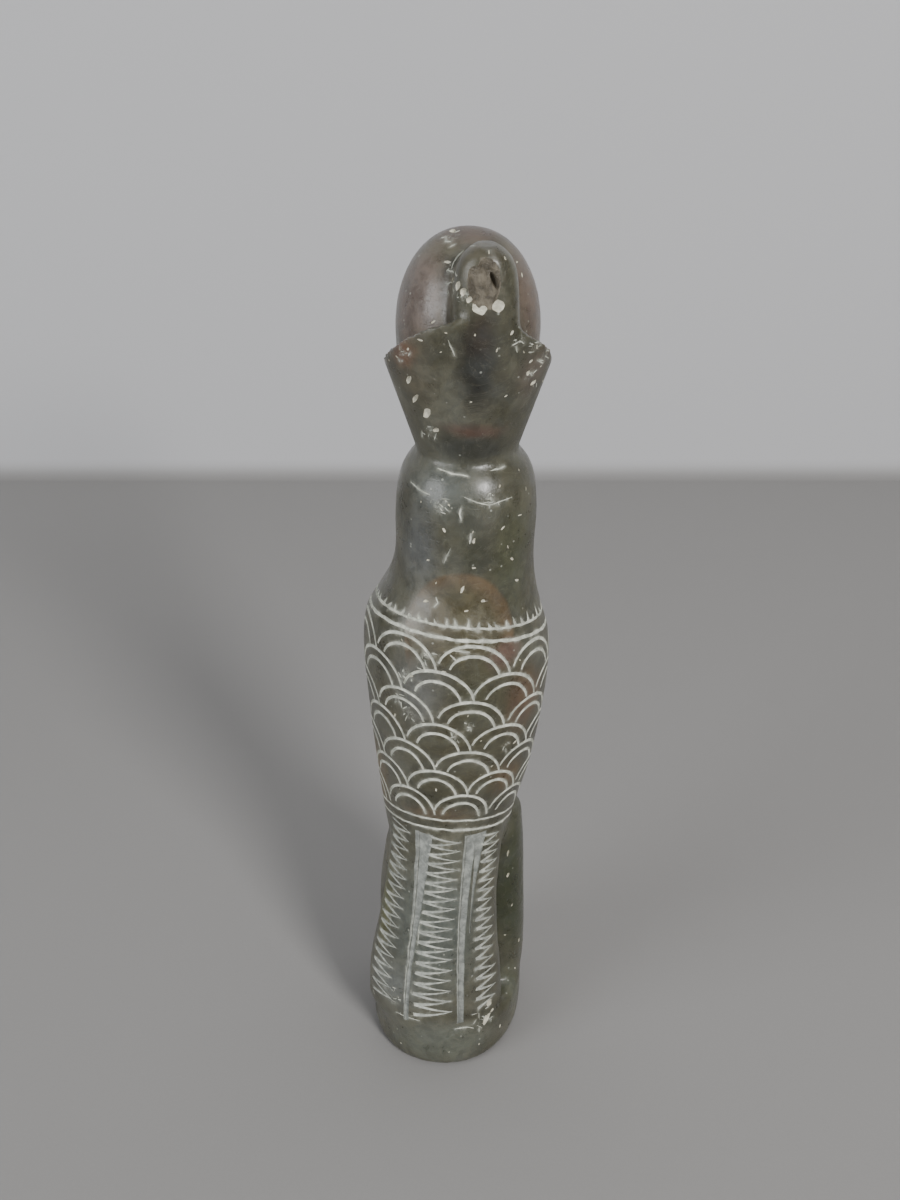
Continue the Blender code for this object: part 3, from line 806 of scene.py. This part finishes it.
for k, (pixel_x, pixel_y) in enumerate(FLECKS):
    size = hand.choice((0.5, 0.6, 0.7, 0.9, 1.2))
    long, turn = size * hand.uniform(1.1, 2.4), hand.uniform(0, 180)
    chip(f"bruises_{3 + k % 2}", pixel_x, pixel_y, long * MM, size * 0.7 * MM, FLECK_DEPTH, turn)

# The slips, where the carver's burin ran off its line: thin pale scratches. Each row gives the
# pixels that one passes, and its width in millimetres.
SLIPS = (
    (((514, 411), (524, 409), (533, 404), (539, 399)), 0.8),
    (((461, 508), (460, 514), (461, 521)), 0.8),
    (((451, 548), (447, 556), (444, 563)), 0.5),
    (((451, 269), (455, 259), (463, 251), (474, 246)), 0.9),
    (((464, 497), (478, 503), (490, 505), (512, 497)), 0.6),
    (((373, 358), (382, 352), (398, 346)), 0.8),
    (((543, 384), (549, 372), (554, 358)), 0.8),
    (((448, 340), (452, 349), (455, 356)), 0.7),
    (((471, 533), (470, 544)), 0.7),
    (((438, 468), (450, 473), (468, 476)), 0.9),
    (((490, 471), (498, 469), (505, 466)), 0.9),
    (((411, 482), (420, 490), (430, 495)), 0.7),
    (((396, 1012), (410, 1018), (420, 1021)), 0.6),
    (((455, 1029), (466, 1027), (474, 1028)), 0.6),
    (((419, 925), (418, 945)), 0.6),
    (((436, 597), (438, 603), (434, 607)), 0.6),
    (((452, 650), (462, 652), (470, 652)), 1.0),
    (((450, 655), (458, 662)), 1.0),
)
for trail, width in SLIPS:
    spots = [seen_at(*pixel)[0] for pixel in trail]
    if all(spots):
        width *= 0.6 * MM
        scratch("slips", follow(spots, 9), width, LINE_DEPTH * 0.5, taper=0.15, waver=0.6)

# The old break on the post's top, where its curling tip came off: a shallow hollow in the bare
# stone with ridges along it, and one deep pit.
SCAR_WIDTH, SCAR_LENGTH, SCAR_DEPTH = 0.0054, 0.0078, 0.0019
PIT_WIDTH, PIT_LENGTH, PIT_DEPTH = 0.0009, 0.0026, 0.0034
scar_place, scar_normal = seen_at(485, 283)
scar = tools["scar"] = bmesh.new()
scar_turn = scar_normal.to_track_quat("Z", "Y")
for vertex in bmesh.ops.create_icosphere(scar, subdivisions=4, radius=1.0)["verts"]:
    x, y, z = vertex.co
    ridge = 0.15 * sin(x * 7 + y * 2.2) + 0.36 * noise.noise(vertex.co * 2.2)
    ridge += 0.10 * noise.noise(vertex.co * 9)
    wide, long = x * SCAR_WIDTH * (1 + ridge * 0.4), y * SCAR_LENGTH * (1 + ridge * 0.4)
    local = Vector((wide, long, z * SCAR_DEPTH * (1 + ridge)))
    vertex.co = scar_place + scar_normal * 0.0003 + scar_turn @ local
turn_outwards(scar.faces)
pit_place, pit_normal = seen_at(495, 281)
pit = tools["scar_pit"] = bmesh.new()
pit_turn = pit_normal.to_track_quat("Z", "Y")
pit_lean = Euler((0, 0, 0.35)).to_quaternion()
for vertex in bmesh.ops.create_icosphere(pit, subdivisions=2, radius=1.0)["verts"]:
    local = vertex.co * Vector((PIT_WIDTH, PIT_LENGTH, PIT_DEPTH))
    vertex.co = pit_place + pit_turn @ pit_lean @ local
turn_outwards(pit.faces)

# The dust: chalk that the tool left beside its lines and rubbed into the stone around the
# knocks. It is written on the finished surface, together with how worn each edge is.
SMEARS = (
    (405, 672, 2.6), (410, 715, 2.8), (398, 700, 1.8), (455, 735, 3.0), (470, 727, 2.0),
    (488, 1003, 3.2), (487, 1018, 2.6), (480, 1024, 2.0), (455, 285, 3.2), (462, 296, 3.0),
    (450, 270, 2.4), (530, 374, 3.0), (545, 356, 3.0), (536, 345, 2.6), (520, 340, 2.4),
    (430, 430, 2.4), (452, 236, 3.0), (378, 1016, 2.2), (402, 352, 2.6), (440, 504, 4.0),
    (490, 500, 3.0), (385, 985, 4.0), (393, 1000, 3.0), (426, 655, 2.4), (505, 745, 2.0),
)
LONGEST_SCUFF = 0.004
smear_spots = [(seen_at(x, y)[0], reach * MM) for x, y, reach in SMEARS]
for k, (pixel_x, pixel_y, reach) in enumerate(SMEARS * 5):
    start = [pixel_x + hand.gauss(0, reach * 1.6), pixel_y + hand.gauss(0, reach * 1.8)]
    way, long = hand.uniform(0, pi), hand.uniform(1.5, 6.5)
    end = [start[0] + cos(way) * long, start[1] + sin(way) * long]
    spots = [seen_at(*start)[0], seen_at(*end)[0]]
    if all(spots) and (spots[1] - spots[0]).length < LONGEST_SCUFF:
        width = hand.uniform(0.18, 0.42) * MM
        scratch(f"slips_{k % 5}", follow(spots, 4), width, LINE_DEPTH * 0.4, taper=0.2, waver=0.6)


def new_material(name):
    material = bpy.data.materials.new(name)
    material.use_nodes = True
    return material


stone_material = new_material("polished_soapstone")
cut_materials = {
    "lines": new_material("chalky_scratched_line"),
    "quills": new_material("scraped_quill"),
    "bruises": new_material("crushed_white_bruise"),
    "barbs": new_material("rubbed_barb"),
    "scar": new_material("old_break_scar"),
}
falcon = put("soapstone_falcon", stone)
falcon.data.materials.clear()
falcon.data.materials.append(stone_material)
cutters = bpy.data.collections.new("cutting_tools")
bpy.context.scene.collection.children.link(cutters)
for name, bm in tools.items():
    mesh = as_mesh(bm, name)
    mesh.materials.append(cut_materials.get(name.split("_")[0], cut_materials["lines"]))
    cutters.objects.link(bpy.data.objects.new(name, mesh))
carving = falcon.modifiers.new("carving", "BOOLEAN")
carving.operation = "DIFFERENCE"
carving.operand_type = "COLLECTION"
carving.collection = cutters
carving.solver = "EXACT"
carving.material_mode = "TRANSFER"
carved = as_evaluated(falcon)
falcon.modifiers.clear()
falcon.data = carved
for tool in list(cutters.objects):
    bpy.data.objects.remove(tool)
bpy.data.collections.remove(cutters)

DUST_REACH = 0.0010
tree = KDTree(len(line_dust))
for i, (place, half) in enumerate(line_dust):
    tree.insert(place, i)
tree.balance()
carved_bm = bmesh.new()
carved_bm.from_mesh(carved)
dust, smear, edge = [], [], []
for vertex in carved_bm.verts:
    _, index, distance = tree.find(vertex.co)
    dust.append(max(0.0, 1 - max(0.0, distance - line_dust[index][1]) / DUST_REACH))
    nearest = max(1 - (vertex.co - place).length / reach for place, reach in smear_spots if place)
    smear.append(max(0.0, nearest))
    rim = [link.other_vert(vertex).co for link in vertex.link_edges]
    middle = sum(rim, Vector()) / len(rim)
    spread_out = sum((co - vertex.co).length for co in rim) / len(rim)
    edge.append(vertex.normal.dot(vertex.co - middle) / max(spread_out, 1e-6))
carved_bm.free()
for name, values in (("dust", dust), ("smear", smear), ("worn_edge", edge)):
    carved.attributes.new(name, "FLOAT", "POINT").data.foreach_set("value", values)
carved.shade_smooth()
carved.set_sharp_from_angle(angle=radians(38))

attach(falcon, "root")
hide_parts("horus_statue")

# The stone's colours: grey-green soapstone with clouds of olive, rust and violet-brown, pale
# flecks and hair-fine polishing marks. The groups are shared by the polished skin, the
# scratched lines, the scraped quills and the old break.
BRIGHTEN = 0.64


def tint(red, green, blue, gain=BRIGHTEN):
    """A colour as the eye gives it, 0 to 255, turned into the stone's own reflectance."""
    linear = [((part / 255 + 0.055) / 1.055) ** 2.4 for part in (red, green, blue)]
    return tuple(min(0.9, part * gain) for part in linear) + (1,)


def node(tree, kind, values=(), **settings):
    """A node with its settings, its plain values and the sockets that feed it."""
    made = tree.nodes.new(kind)
    for key, value in settings.items():
        setattr(made, key, value)
    for key, value in dict(values).items():
        if isinstance(value, bpy.types.NodeSocket):
            tree.links.new(value, made.inputs[key])
        else:
            made.inputs[key].default_value = value
    return made


def new_group(name, inputs, outputs):
    """A shader node group with its inputs, their usual values and its outputs."""
    group = bpy.data.node_groups.new(name, "ShaderNodeTree")
    for label, usual in inputs.items():
        kind = "NodeSocketFloat" if isinstance(usual, float) else "NodeSocketVector"
        socket = group.interface.new_socket(label, in_out="INPUT", socket_type=kind)
        socket.default_value = usual
    for label in outputs:
        group.interface.new_socket(label, in_out="OUTPUT", socket_type="NodeSocketFloat")
    return group, group.nodes.new("NodeGroupInput").outputs, group.nodes.new("NodeGroupOutput")


def ramp(tree, value, low, high, bottom=0.0, top=1.0):
    """A value stretched from low..high to bottom..top with soft ends."""
    values = {"Value": value, "From Min": low, "From Max": high, "To Min": bottom, "To Max": top}
    return node(tree, "ShaderNodeMapRange", values, interpolation_type="SMOOTHSTEP").outputs[0]


def blend(tree, factor, first, second, mode="MIX"):
    """Two colours mixed by a factor."""
    values = {0: factor, 6: first, 7: second}
    return node(tree, "ShaderNodeMix", values, data_type="RGBA", blend_type=mode).outputs[2]


def times(tree, first, second, operation="MULTIPLY"):
    return node(tree, "ShaderNodeMath", {0: first, 1: second}, operation=operation).outputs[0]


def moved(tree, first, second, operation="SUBTRACT"):
    values = {0: first, 1: second}
    return node(tree, "ShaderNodeVectorMath", values, operation=operation).outputs[0]


def scaled(tree, place, amount):
    values = {0: place, "Scale": amount}
    return node(tree, "ShaderNodeVectorMath", values, operation="SCALE").outputs[0]


def noisy(tree, place, scale, detail, roughness=0.5, distortion=0.0):
    """The natural unevenness of stone or paper at a place."""
    values = {"Scale": scale, "Detail": detail, "Roughness": roughness, "Distortion": distortion}
    return node(tree, "ShaderNodeTexNoise", {"Vector": place, **values}).outputs


def dress(tree, colour, rough, relief, strength, depth):
    """Feeds colour, roughness and fine relief to a material's own shader."""
    shader = tree.nodes["Principled BSDF"]
    values = {"Height": relief, "Strength": strength, "Distance": depth}
    bump = node(tree, "ShaderNodeBump", values).outputs["Normal"]
    for label, socket in (("Base Color", colour), ("Roughness", rough), ("Normal", bump)):
        tree.links.new(socket, shader.inputs[label])


# Body of the stone: wide clouds, small mottling, thin veins, pale flecks and fine grain, all
# through the block, so that the cut faces show the same stone as its skin.
body_group, given, out = new_group(
    "soapstone_body", {"Coarseness": 1.0}, ("Cloud", "Mottle", "Vein", "Fleck", "Grain")
)
place = node(body_group, "ShaderNodeTexCoord").outputs["Object"]
here = scaled(body_group, place, given["Coarseness"])
cloud = noisy(body_group, here, 38, 5, 0.55, 0.9)["Fac"]
mottle = noisy(body_group, here, 230, 6, 0.68, 0.4)["Fac"]
vein = times(body_group, noisy(body_group, here, 62, 7, 0.6, 2.2)["Fac"], 0.5, "SUBTRACT")
specks = node(body_group, "ShaderNodeTexVoronoi", {"Vector": here, "Scale": 620}).outputs
chosen = node(body_group, "ShaderNodeSeparateColor", {"Color": specks["Color"]}).outputs["Red"]
near = ramp(body_group, specks["Distance"], 0.30, 0.12)
shown = {
    "Cloud": ramp(body_group, cloud, 0.36, 0.66),
    "Mottle": ramp(body_group, mottle, 0.33, 0.67),
    "Vein": ramp(body_group, times(body_group, vein, 0, "ABSOLUTE"), 0.012, 0.0),
    "Fleck": times(body_group, near, ramp(body_group, chosen, 0.94, 0.97)),
    "Grain": noisy(body_group, here, 1500, 3, 0.7)["Fac"],
}
for label, socket in shown.items():
    body_group.links.new(socket, out.inputs[label])

# One cloud of colour round a place in the block, with its edge broken by the stone's flow.
# Most clouds are tints that minerals have left in the soapstone; three are painted light
# instead: painted shade, a painted reflection and a painted glow.
cloud_group, given, out = new_group(
    "colour_cloud",
    {"Centre": (0, 0, 0), "Reach": (1, 1, 1), "Softness": 0.5, "Flow": (0, 0, 0), "Waver": 1.0},
    ("Mask",),
)
place = node(cloud_group, "ShaderNodeTexCoord").outputs["Object"]
drift = scaled(cloud_group, given["Flow"], given["Waver"])
away = moved(cloud_group, moved(cloud_group, place, given["Centre"]), drift, "ADD")
away = moved(cloud_group, away, given["Reach"], "DIVIDE")
far = node(cloud_group, "ShaderNodeVectorMath", {0: away}, operation="LENGTH").outputs["Value"]
inner = times(cloud_group, 1.0, given["Softness"], "SUBTRACT")
cloud_group.links.new(ramp(cloud_group, far, inner, 1.0, 1.0, 0.0), out.inputs["Mask"])

# Hand polish: rubbing with fine grit and a greasy cloth left hair-fine scratches in two
# directions, and smears.
polish_group, given, out = new_group("hand_polish", {"Fineness": 1.0}, ("Hairlines", "Smears"))
place = node(polish_group, "ShaderNodeTexCoord").outputs["Object"]
hairlines = []
for stretch, turn in (((1, 1, 0.09), 0.35), ((0.12, 0.12, 1), -0.5)):
    values = {"Vector": place, "Rotation": (turn, turn * 0.6, 0), "Scale": stretch}
    laid = node(polish_group, "ShaderNodeMapping", values).outputs[0]
    lines = noisy(polish_group, scaled(polish_group, laid, given["Fineness"]), 1900, 2)["Fac"]
    hairlines.append(ramp(polish_group, lines, 0.63, 0.72))
smears = ramp(polish_group, noisy(polish_group, place, 90, 4, 0.6, 0.8)["Fac"], 0.42, 0.68)
polish_group.links.new(times(polish_group, *hairlines, "MAXIMUM"), out.inputs["Hairlines"])
polish_group.links.new(smears, out.inputs["Smears"])

# The polished skin: every cloud of colour that the photograph shows, a few on the hidden
# sides, chalk dust beside the lines, paler worn edges and a waxy, satin gloss. Three clouds
# are painted light, not stone: painted shade down the crown's middle, a painted reflection on
# the head's top and a painted glow along the tail's edge. A cloud has the pixel of its middle,
# its reach in millimetres, its colour, its strength and its softness.
CLOUDS = (
    ("egg_red_left", (412, 300), (16, 16, 24), (140, 124, 116), 0.80, 0.7),
    ("egg_red_right", (533, 290), (11, 16, 26), (124, 106, 94), 0.80, 0.7),
    ("egg_red_top", (470, 228), (16, 14, 8), (112, 92, 82), 0.7, 0.7),
    ("post_green", (476, 258), (10, 9, 12), (96, 90, 74), 0.7, 0.6),
    ("crown_left", (412, 372), (12, 10, 16), (118, 111, 92), 0.75, 0.8),
    ("crown_right", (533, 374), (10, 9, 12), (120, 108, 96), 0.75, 0.8),
    # Painted shade: a dark strip down the crown's middle, where the flare faces down.
    ("crown_dark", (480, 372), (8, 10, 24), (42, 42, 37), 0.95, 0.8),
    ("post_brown", (482, 335), (6, 9, 12), (64, 53, 44), 0.7, 0.8),
    ("corner_rust", (401, 352), (7, 7, 7), (132, 94, 70), 0.75, 0.8),
    ("crown_red_band", (476, 432), (15, 10, 4), (98, 66, 56), 0.7, 0.9),
    ("crown_foot", (470, 452), (17, 14, 8), (50, 52, 47), 0.75, 0.8),
    # Painted reflection: a pale grey haze of window light on the head's top and shoulders.
    ("head_haze", (440, 492), (20, 14, 11), (108, 114, 111), 0.7, 0.9),
    ("head_olive", (512, 555), (10, 14, 24), (88, 91, 66), 0.8, 0.8),
    ("head_dark", (474, 548), (8, 14, 20), (66, 68, 52), 0.75, 0.9),
    ("head_violet", (416, 545), (11, 12, 20), (120, 123, 123), 0.75, 0.9),
    ("patch_rim", (457, 650), (17.2, 40, 24.5), (132, 106, 76), 0.60, 0.07),
    ("brown_patch", (455, 652), (16.4, 40, 24.0), (98, 92, 66), 0.95, 0.30),
    ("mauve_patch", (430, 622), (10, 14, 13), (126, 119, 103), 0.75, 0.5),
    ("below_belt", (466, 715), (34, 40, 24.5), (92, 88, 66), 0.95, 0.30),
    ("body_grey", (416, 690), (14, 15, 22), (130, 130, 126), 0.8, 0.9),
    ("body_green", (474, 700), (11, 14, 18), (84, 84, 62), 0.7, 0.9),
    ("belt_mauve", (505, 655), (7, 9, 7), (124, 96, 86), 0.75, 0.8),
    ("body_rust", (524, 700), (9, 12, 17), (114, 88, 64), 0.85, 0.7),
    ("edge_ochre", (380, 770), (10, 12, 20), (122, 100, 56), 0.85, 0.8),
    ("waist_olive", (470, 780), (20, 16, 12), (92, 86, 58), 0.7, 0.9),
    ("waist_ochre", (506, 775), (9, 10, 12), (118, 94, 60), 0.7, 0.8),
    ("belt_brown", (440, 815), (18, 10, 5), (118, 100, 76), 0.7, 0.8),
    ("tail_grey", (432, 930), (26, 16, 44), (110, 116, 109), 0.8, 0.7),
    ("tail_foot", (395, 985), (16, 14, 16), (140, 144, 140), 0.7, 0.9),
    # Painted glow: olive-yellow light shining through the thin edge of the tail.
    ("tail_edge", (386, 900), (4, 9, 30), (104, 104, 52), 0.85, 0.8),
    ("leg_olive", (520, 880), (16, 22, 44), (60, 66, 38), 0.95, 0.6),
    ("leg_foot", (511, 985), (9, 12, 16), (116, 120, 100), 0.7, 0.9),
    ("plinth_green", (440, 1045), (32, 24, 14), (114, 118, 106), 0.8, 0.8),
)
HIDDEN_CLOUDS = (
    (0.47, -1.3, (16, 12, 22), (118, 92, 66), 0.7, 0.7),
    (0.40, -2.1, (12, 12, 14), (108, 110, 108), 0.6, 0.8),
    (0.64, -1.9, (10, 10, 14), (112, 86, 62), 0.6, 0.6),
    (0.69, -0.9, (12, 12, 12), (92, 98, 94), 0.6, 0.8),
)
skin = stone_material.node_tree
inside = node(skin, "ShaderNodeGroup", node_tree=body_group).outputs
polish = node(skin, "ShaderNodeGroup", node_tree=polish_group).outputs
mottle, grain, hairlines = inside["Mottle"], inside["Grain"], polish["Hairlines"]
place = node(skin, "ShaderNodeTexCoord").outputs["Object"]
flow = moved(skin, noisy(skin, place, 55, 5, 0.6)["Color"], (0.5, 0.5, 0.5))
flow = scaled(skin, flow, 0.016)
colour = blend(skin, inside["Cloud"], tint(82, 80, 62), tint(112, 110, 94))
patches = [(name, seen_at(*pixel)[0], *look) for name, pixel, *look in CLOUDS]
patches += [("hidden_side", body_point(h, a), *look) for h, a, *look in HIDDEN_CLOUDS]
for name, centre, reach, hue, much, soft in patches:
    values = {"Centre": centre, "Reach": [side * MM for side in reach], "Softness": soft}
    values |= {"Waver": 0.12 + 0.7 * soft**2, "Flow": flow}
    patch = node(skin, "ShaderNodeGroup", values, node_tree=cloud_group, label=name)
    colour = blend(skin, times(skin, patch.outputs["Mask"], much), colour, tint(*hue))
shade = ramp(skin, mottle, 0.0, 1.0, 0.80, 1.16)
shade_colour = node(skin, "ShaderNodeCombineColor", {0: shade, 1: shade, 2: shade}).outputs[0]
colour = blend(skin, 1.0, colour, shade_colour, "MULTIPLY")
colour = blend(skin, times(skin, inside["Vein"], 0.22), colour, tint(150, 146, 128))
dusty, smeared, worn = (
    node(skin, "ShaderNodeAttribute", attribute_name=name).outputs["Fac"]
    for name in ("dust", "smear", "worn_edge")
)
chalk = times(skin, times(skin, dusty, 2.0, "POWER"), ramp(skin, mottle, 0.2, 0.8, 0.02, 0.55))
rubbed = times(skin, ramp(skin, grain, 0.42, 0.62), mottle)
rubbed = times(skin, ramp(skin, smeared, 0.05, 0.9), rubbed)
nicks = times(skin, ramp(skin, smeared, 0.0, 0.5), hairlines)
for mark, much in ((rubbed, 0.8), (nicks, 0.85), (inside["Fleck"], 0.5)):
    chalk = times(skin, chalk, times(skin, mark, much), "MAXIMUM")
worn = times(skin, ramp(skin, worn, 0.10, 0.32), 0.35)
colour = blend(skin, worn, colour, tint(150, 152, 140))
colour = blend(skin, times(skin, polish["Smears"], 0.16), colour, tint(128, 134, 132))
colour = blend(skin, chalk, colour, tint(186, 188, 178, 1.0))
rough = ramp(skin, mottle, 0.0, 1.0, 0.27, 0.40)
for mark, much in ((polish["Smears"], 0.10), (chalk, 0.35)):
    rough = times(skin, rough, times(skin, mark, much), "ADD")
relief = times(skin, grain, 0.25)
for mark, much in ((hairlines, -0.35), (mottle, 0.5), (chalk, -0.5)):
    relief = times(skin, relief, times(skin, mark, much), "ADD")
dress(skin, colour, rough, relief, 0.35, 0.0003)
shader = skin.nodes["Principled BSDF"]
shader.inputs["Coat Weight"].default_value = 0.25
shader.inputs["Coat Roughness"].default_value = 0.22
shader.inputs["Subsurface Weight"].default_value = 0.20
shader.inputs["Subsurface Radius"].default_value = (0.0035, 0.0025, 0.0016)
shader.inputs["Subsurface Scale"].default_value = 1.0

# The cut faces: chalk-white in the lines, paler and streaked along the scraped quills, crushed
# white in the bruises, and brown, ridged and duller in the old break. Each row gives the
# darker and the paler colour, the roughness, the strength of the streaks and their depth.
CUT_FACES = (
    ("lines", (172, 174, 163), (232, 233, 222), 0.75, 0.5, 0.00025),
    ("quills", (120, 123, 119), (170, 173, 167), 0.55, 0.6, 0.00025),
    ("barbs", (146, 149, 143), (206, 208, 199), 0.65, 0.5, 0.00025),
    ("bruises", (186, 182, 164), (236, 232, 214), 0.80, 0.3, 0.00040),
    ("scar", (72, 66, 55), (124, 116, 101), 0.36, 0.3, 0.00060),
)
for tool, low, high, roughness, streaks, depth in CUT_FACES:
    cut = cut_materials[tool].node_tree
    inside = node(cut, "ShaderNodeGroup", {"Coarseness": 1.6}, node_tree=body_group).outputs
    polish = node(cut, "ShaderNodeGroup", {"Fineness": 0.45}, node_tree=polish_group).outputs
    mottle, grain = inside["Mottle"], inside["Grain"]
    uneven = times(cut, mottle, times(cut, polish["Hairlines"], streaks), "MAXIMUM")
    colour = blend(cut, uneven, tint(*low, 1.0), tint(*high, 1.0))
    colour = blend(cut, times(cut, grain, 0.25), colour, tint(*low, 1.0))
    rough = ramp(cut, mottle, 0, 1, roughness - 0.08, roughness + 0.08)
    dress(cut, colour, rough, times(cut, mottle, grain, "ADD"), 0.6, depth)

# The stand for the picture, which is no part of the falcon: a pale grey board with a soft
# fold behind it, paler where it stands up, lit by two windows and a dim ceiling.
FOLD_AT = -0.50
FOLD_RADIUS = 0.012
profile = [(3.0, 0.0), (1.0, 0.0), (0.2, 0.0), (FOLD_AT + FOLD_RADIUS, 0.0)]
for k in range(1, 13):
    turn = pi / 2 * k / 12
    y = FOLD_AT + FOLD_RADIUS * (1 - sin(turn))
    profile.append((y, FOLD_RADIUS * (1 - cos(turn))))
profile.append((FOLD_AT, 3.0))
bm = bmesh.new()
rows = [[bm.verts.new((x, y, z)) for x in (-3.0, 3.0)] for y, z in profile]
for a, b in zip(rows, rows[1:]):
    bm.faces.new((a[0], a[1], b[1], b[0]))
sweep_mesh = as_mesh(bm, "pale_sweep")
sweep_mesh.shade_smooth()
sweep = put("pale_sweep", sweep_mesh)
sweep.rotation_euler = (0, 0, CAMERA_TURN)
sweep_material = new_material("pale_grey_board")
board = sweep_material.node_tree
board_shader = board.nodes["Principled BSDF"]
place = node(board, "ShaderNodeTexCoord").outputs["Object"]
paper = noisy(board, place, 900, 3, 0.6)["Fac"]
height = node(board, "ShaderNodeSeparateXYZ", {"Vector": place}).outputs["Z"]
board_tone = ramp(board, height, 0.0, 0.014)
board_tone = blend(board, board_tone, (0.262, 0.255, 0.250, 1), (0.57, 0.57, 0.59, 1))
board_tone = blend(board, times(board, paper, 0.10), board_tone, (0.6, 0.6, 0.6, 1))
board.links.new(board_tone, board_shader.inputs["Base Color"])
board.links.new(ramp(board, paper, 0.3, 0.7, 0.68, 0.8), board_shader.inputs["Roughness"])
sweep_mesh.materials.append(sweep_material)


def lamp(name, place, target, size, power, colour):
    """A round, soft light that faces its target."""
    data = bpy.data.lights.new(name, "AREA")
    data.shape = "DISK"
    data.size = size
    data.energy = power
    data.color = colour
    hung = put(name, data)
    hung.location = place
    hung.rotation_euler = (Vector(target) - Vector(place)).to_track_quat("-Z", "Y").to_euler()


lamp("window_right", (-0.95, 1.15, 1.02), (0, 0, 0.12), 0.45, 27, (1.0, 0.99, 0.97))
lamp("window_left", (1.10, 0.95, 0.62), (0, 0, 0.12), 0.90, 13, (0.97, 0.99, 1.0))
lamp("ceiling", (-0.3, -0.1, 1.6), (-0.1, -0.1, 0), 1.2, 5, (1.0, 0.99, 0.97))
world = bpy.data.worlds.new("room")
world.use_nodes = True
room_light = world.node_tree.nodes["Background"].inputs
room_light["Color"].default_value = (0.72, 0.74, 0.76, 1)
room_light["Strength"].default_value = 0.20
bpy.context.scene.world = world
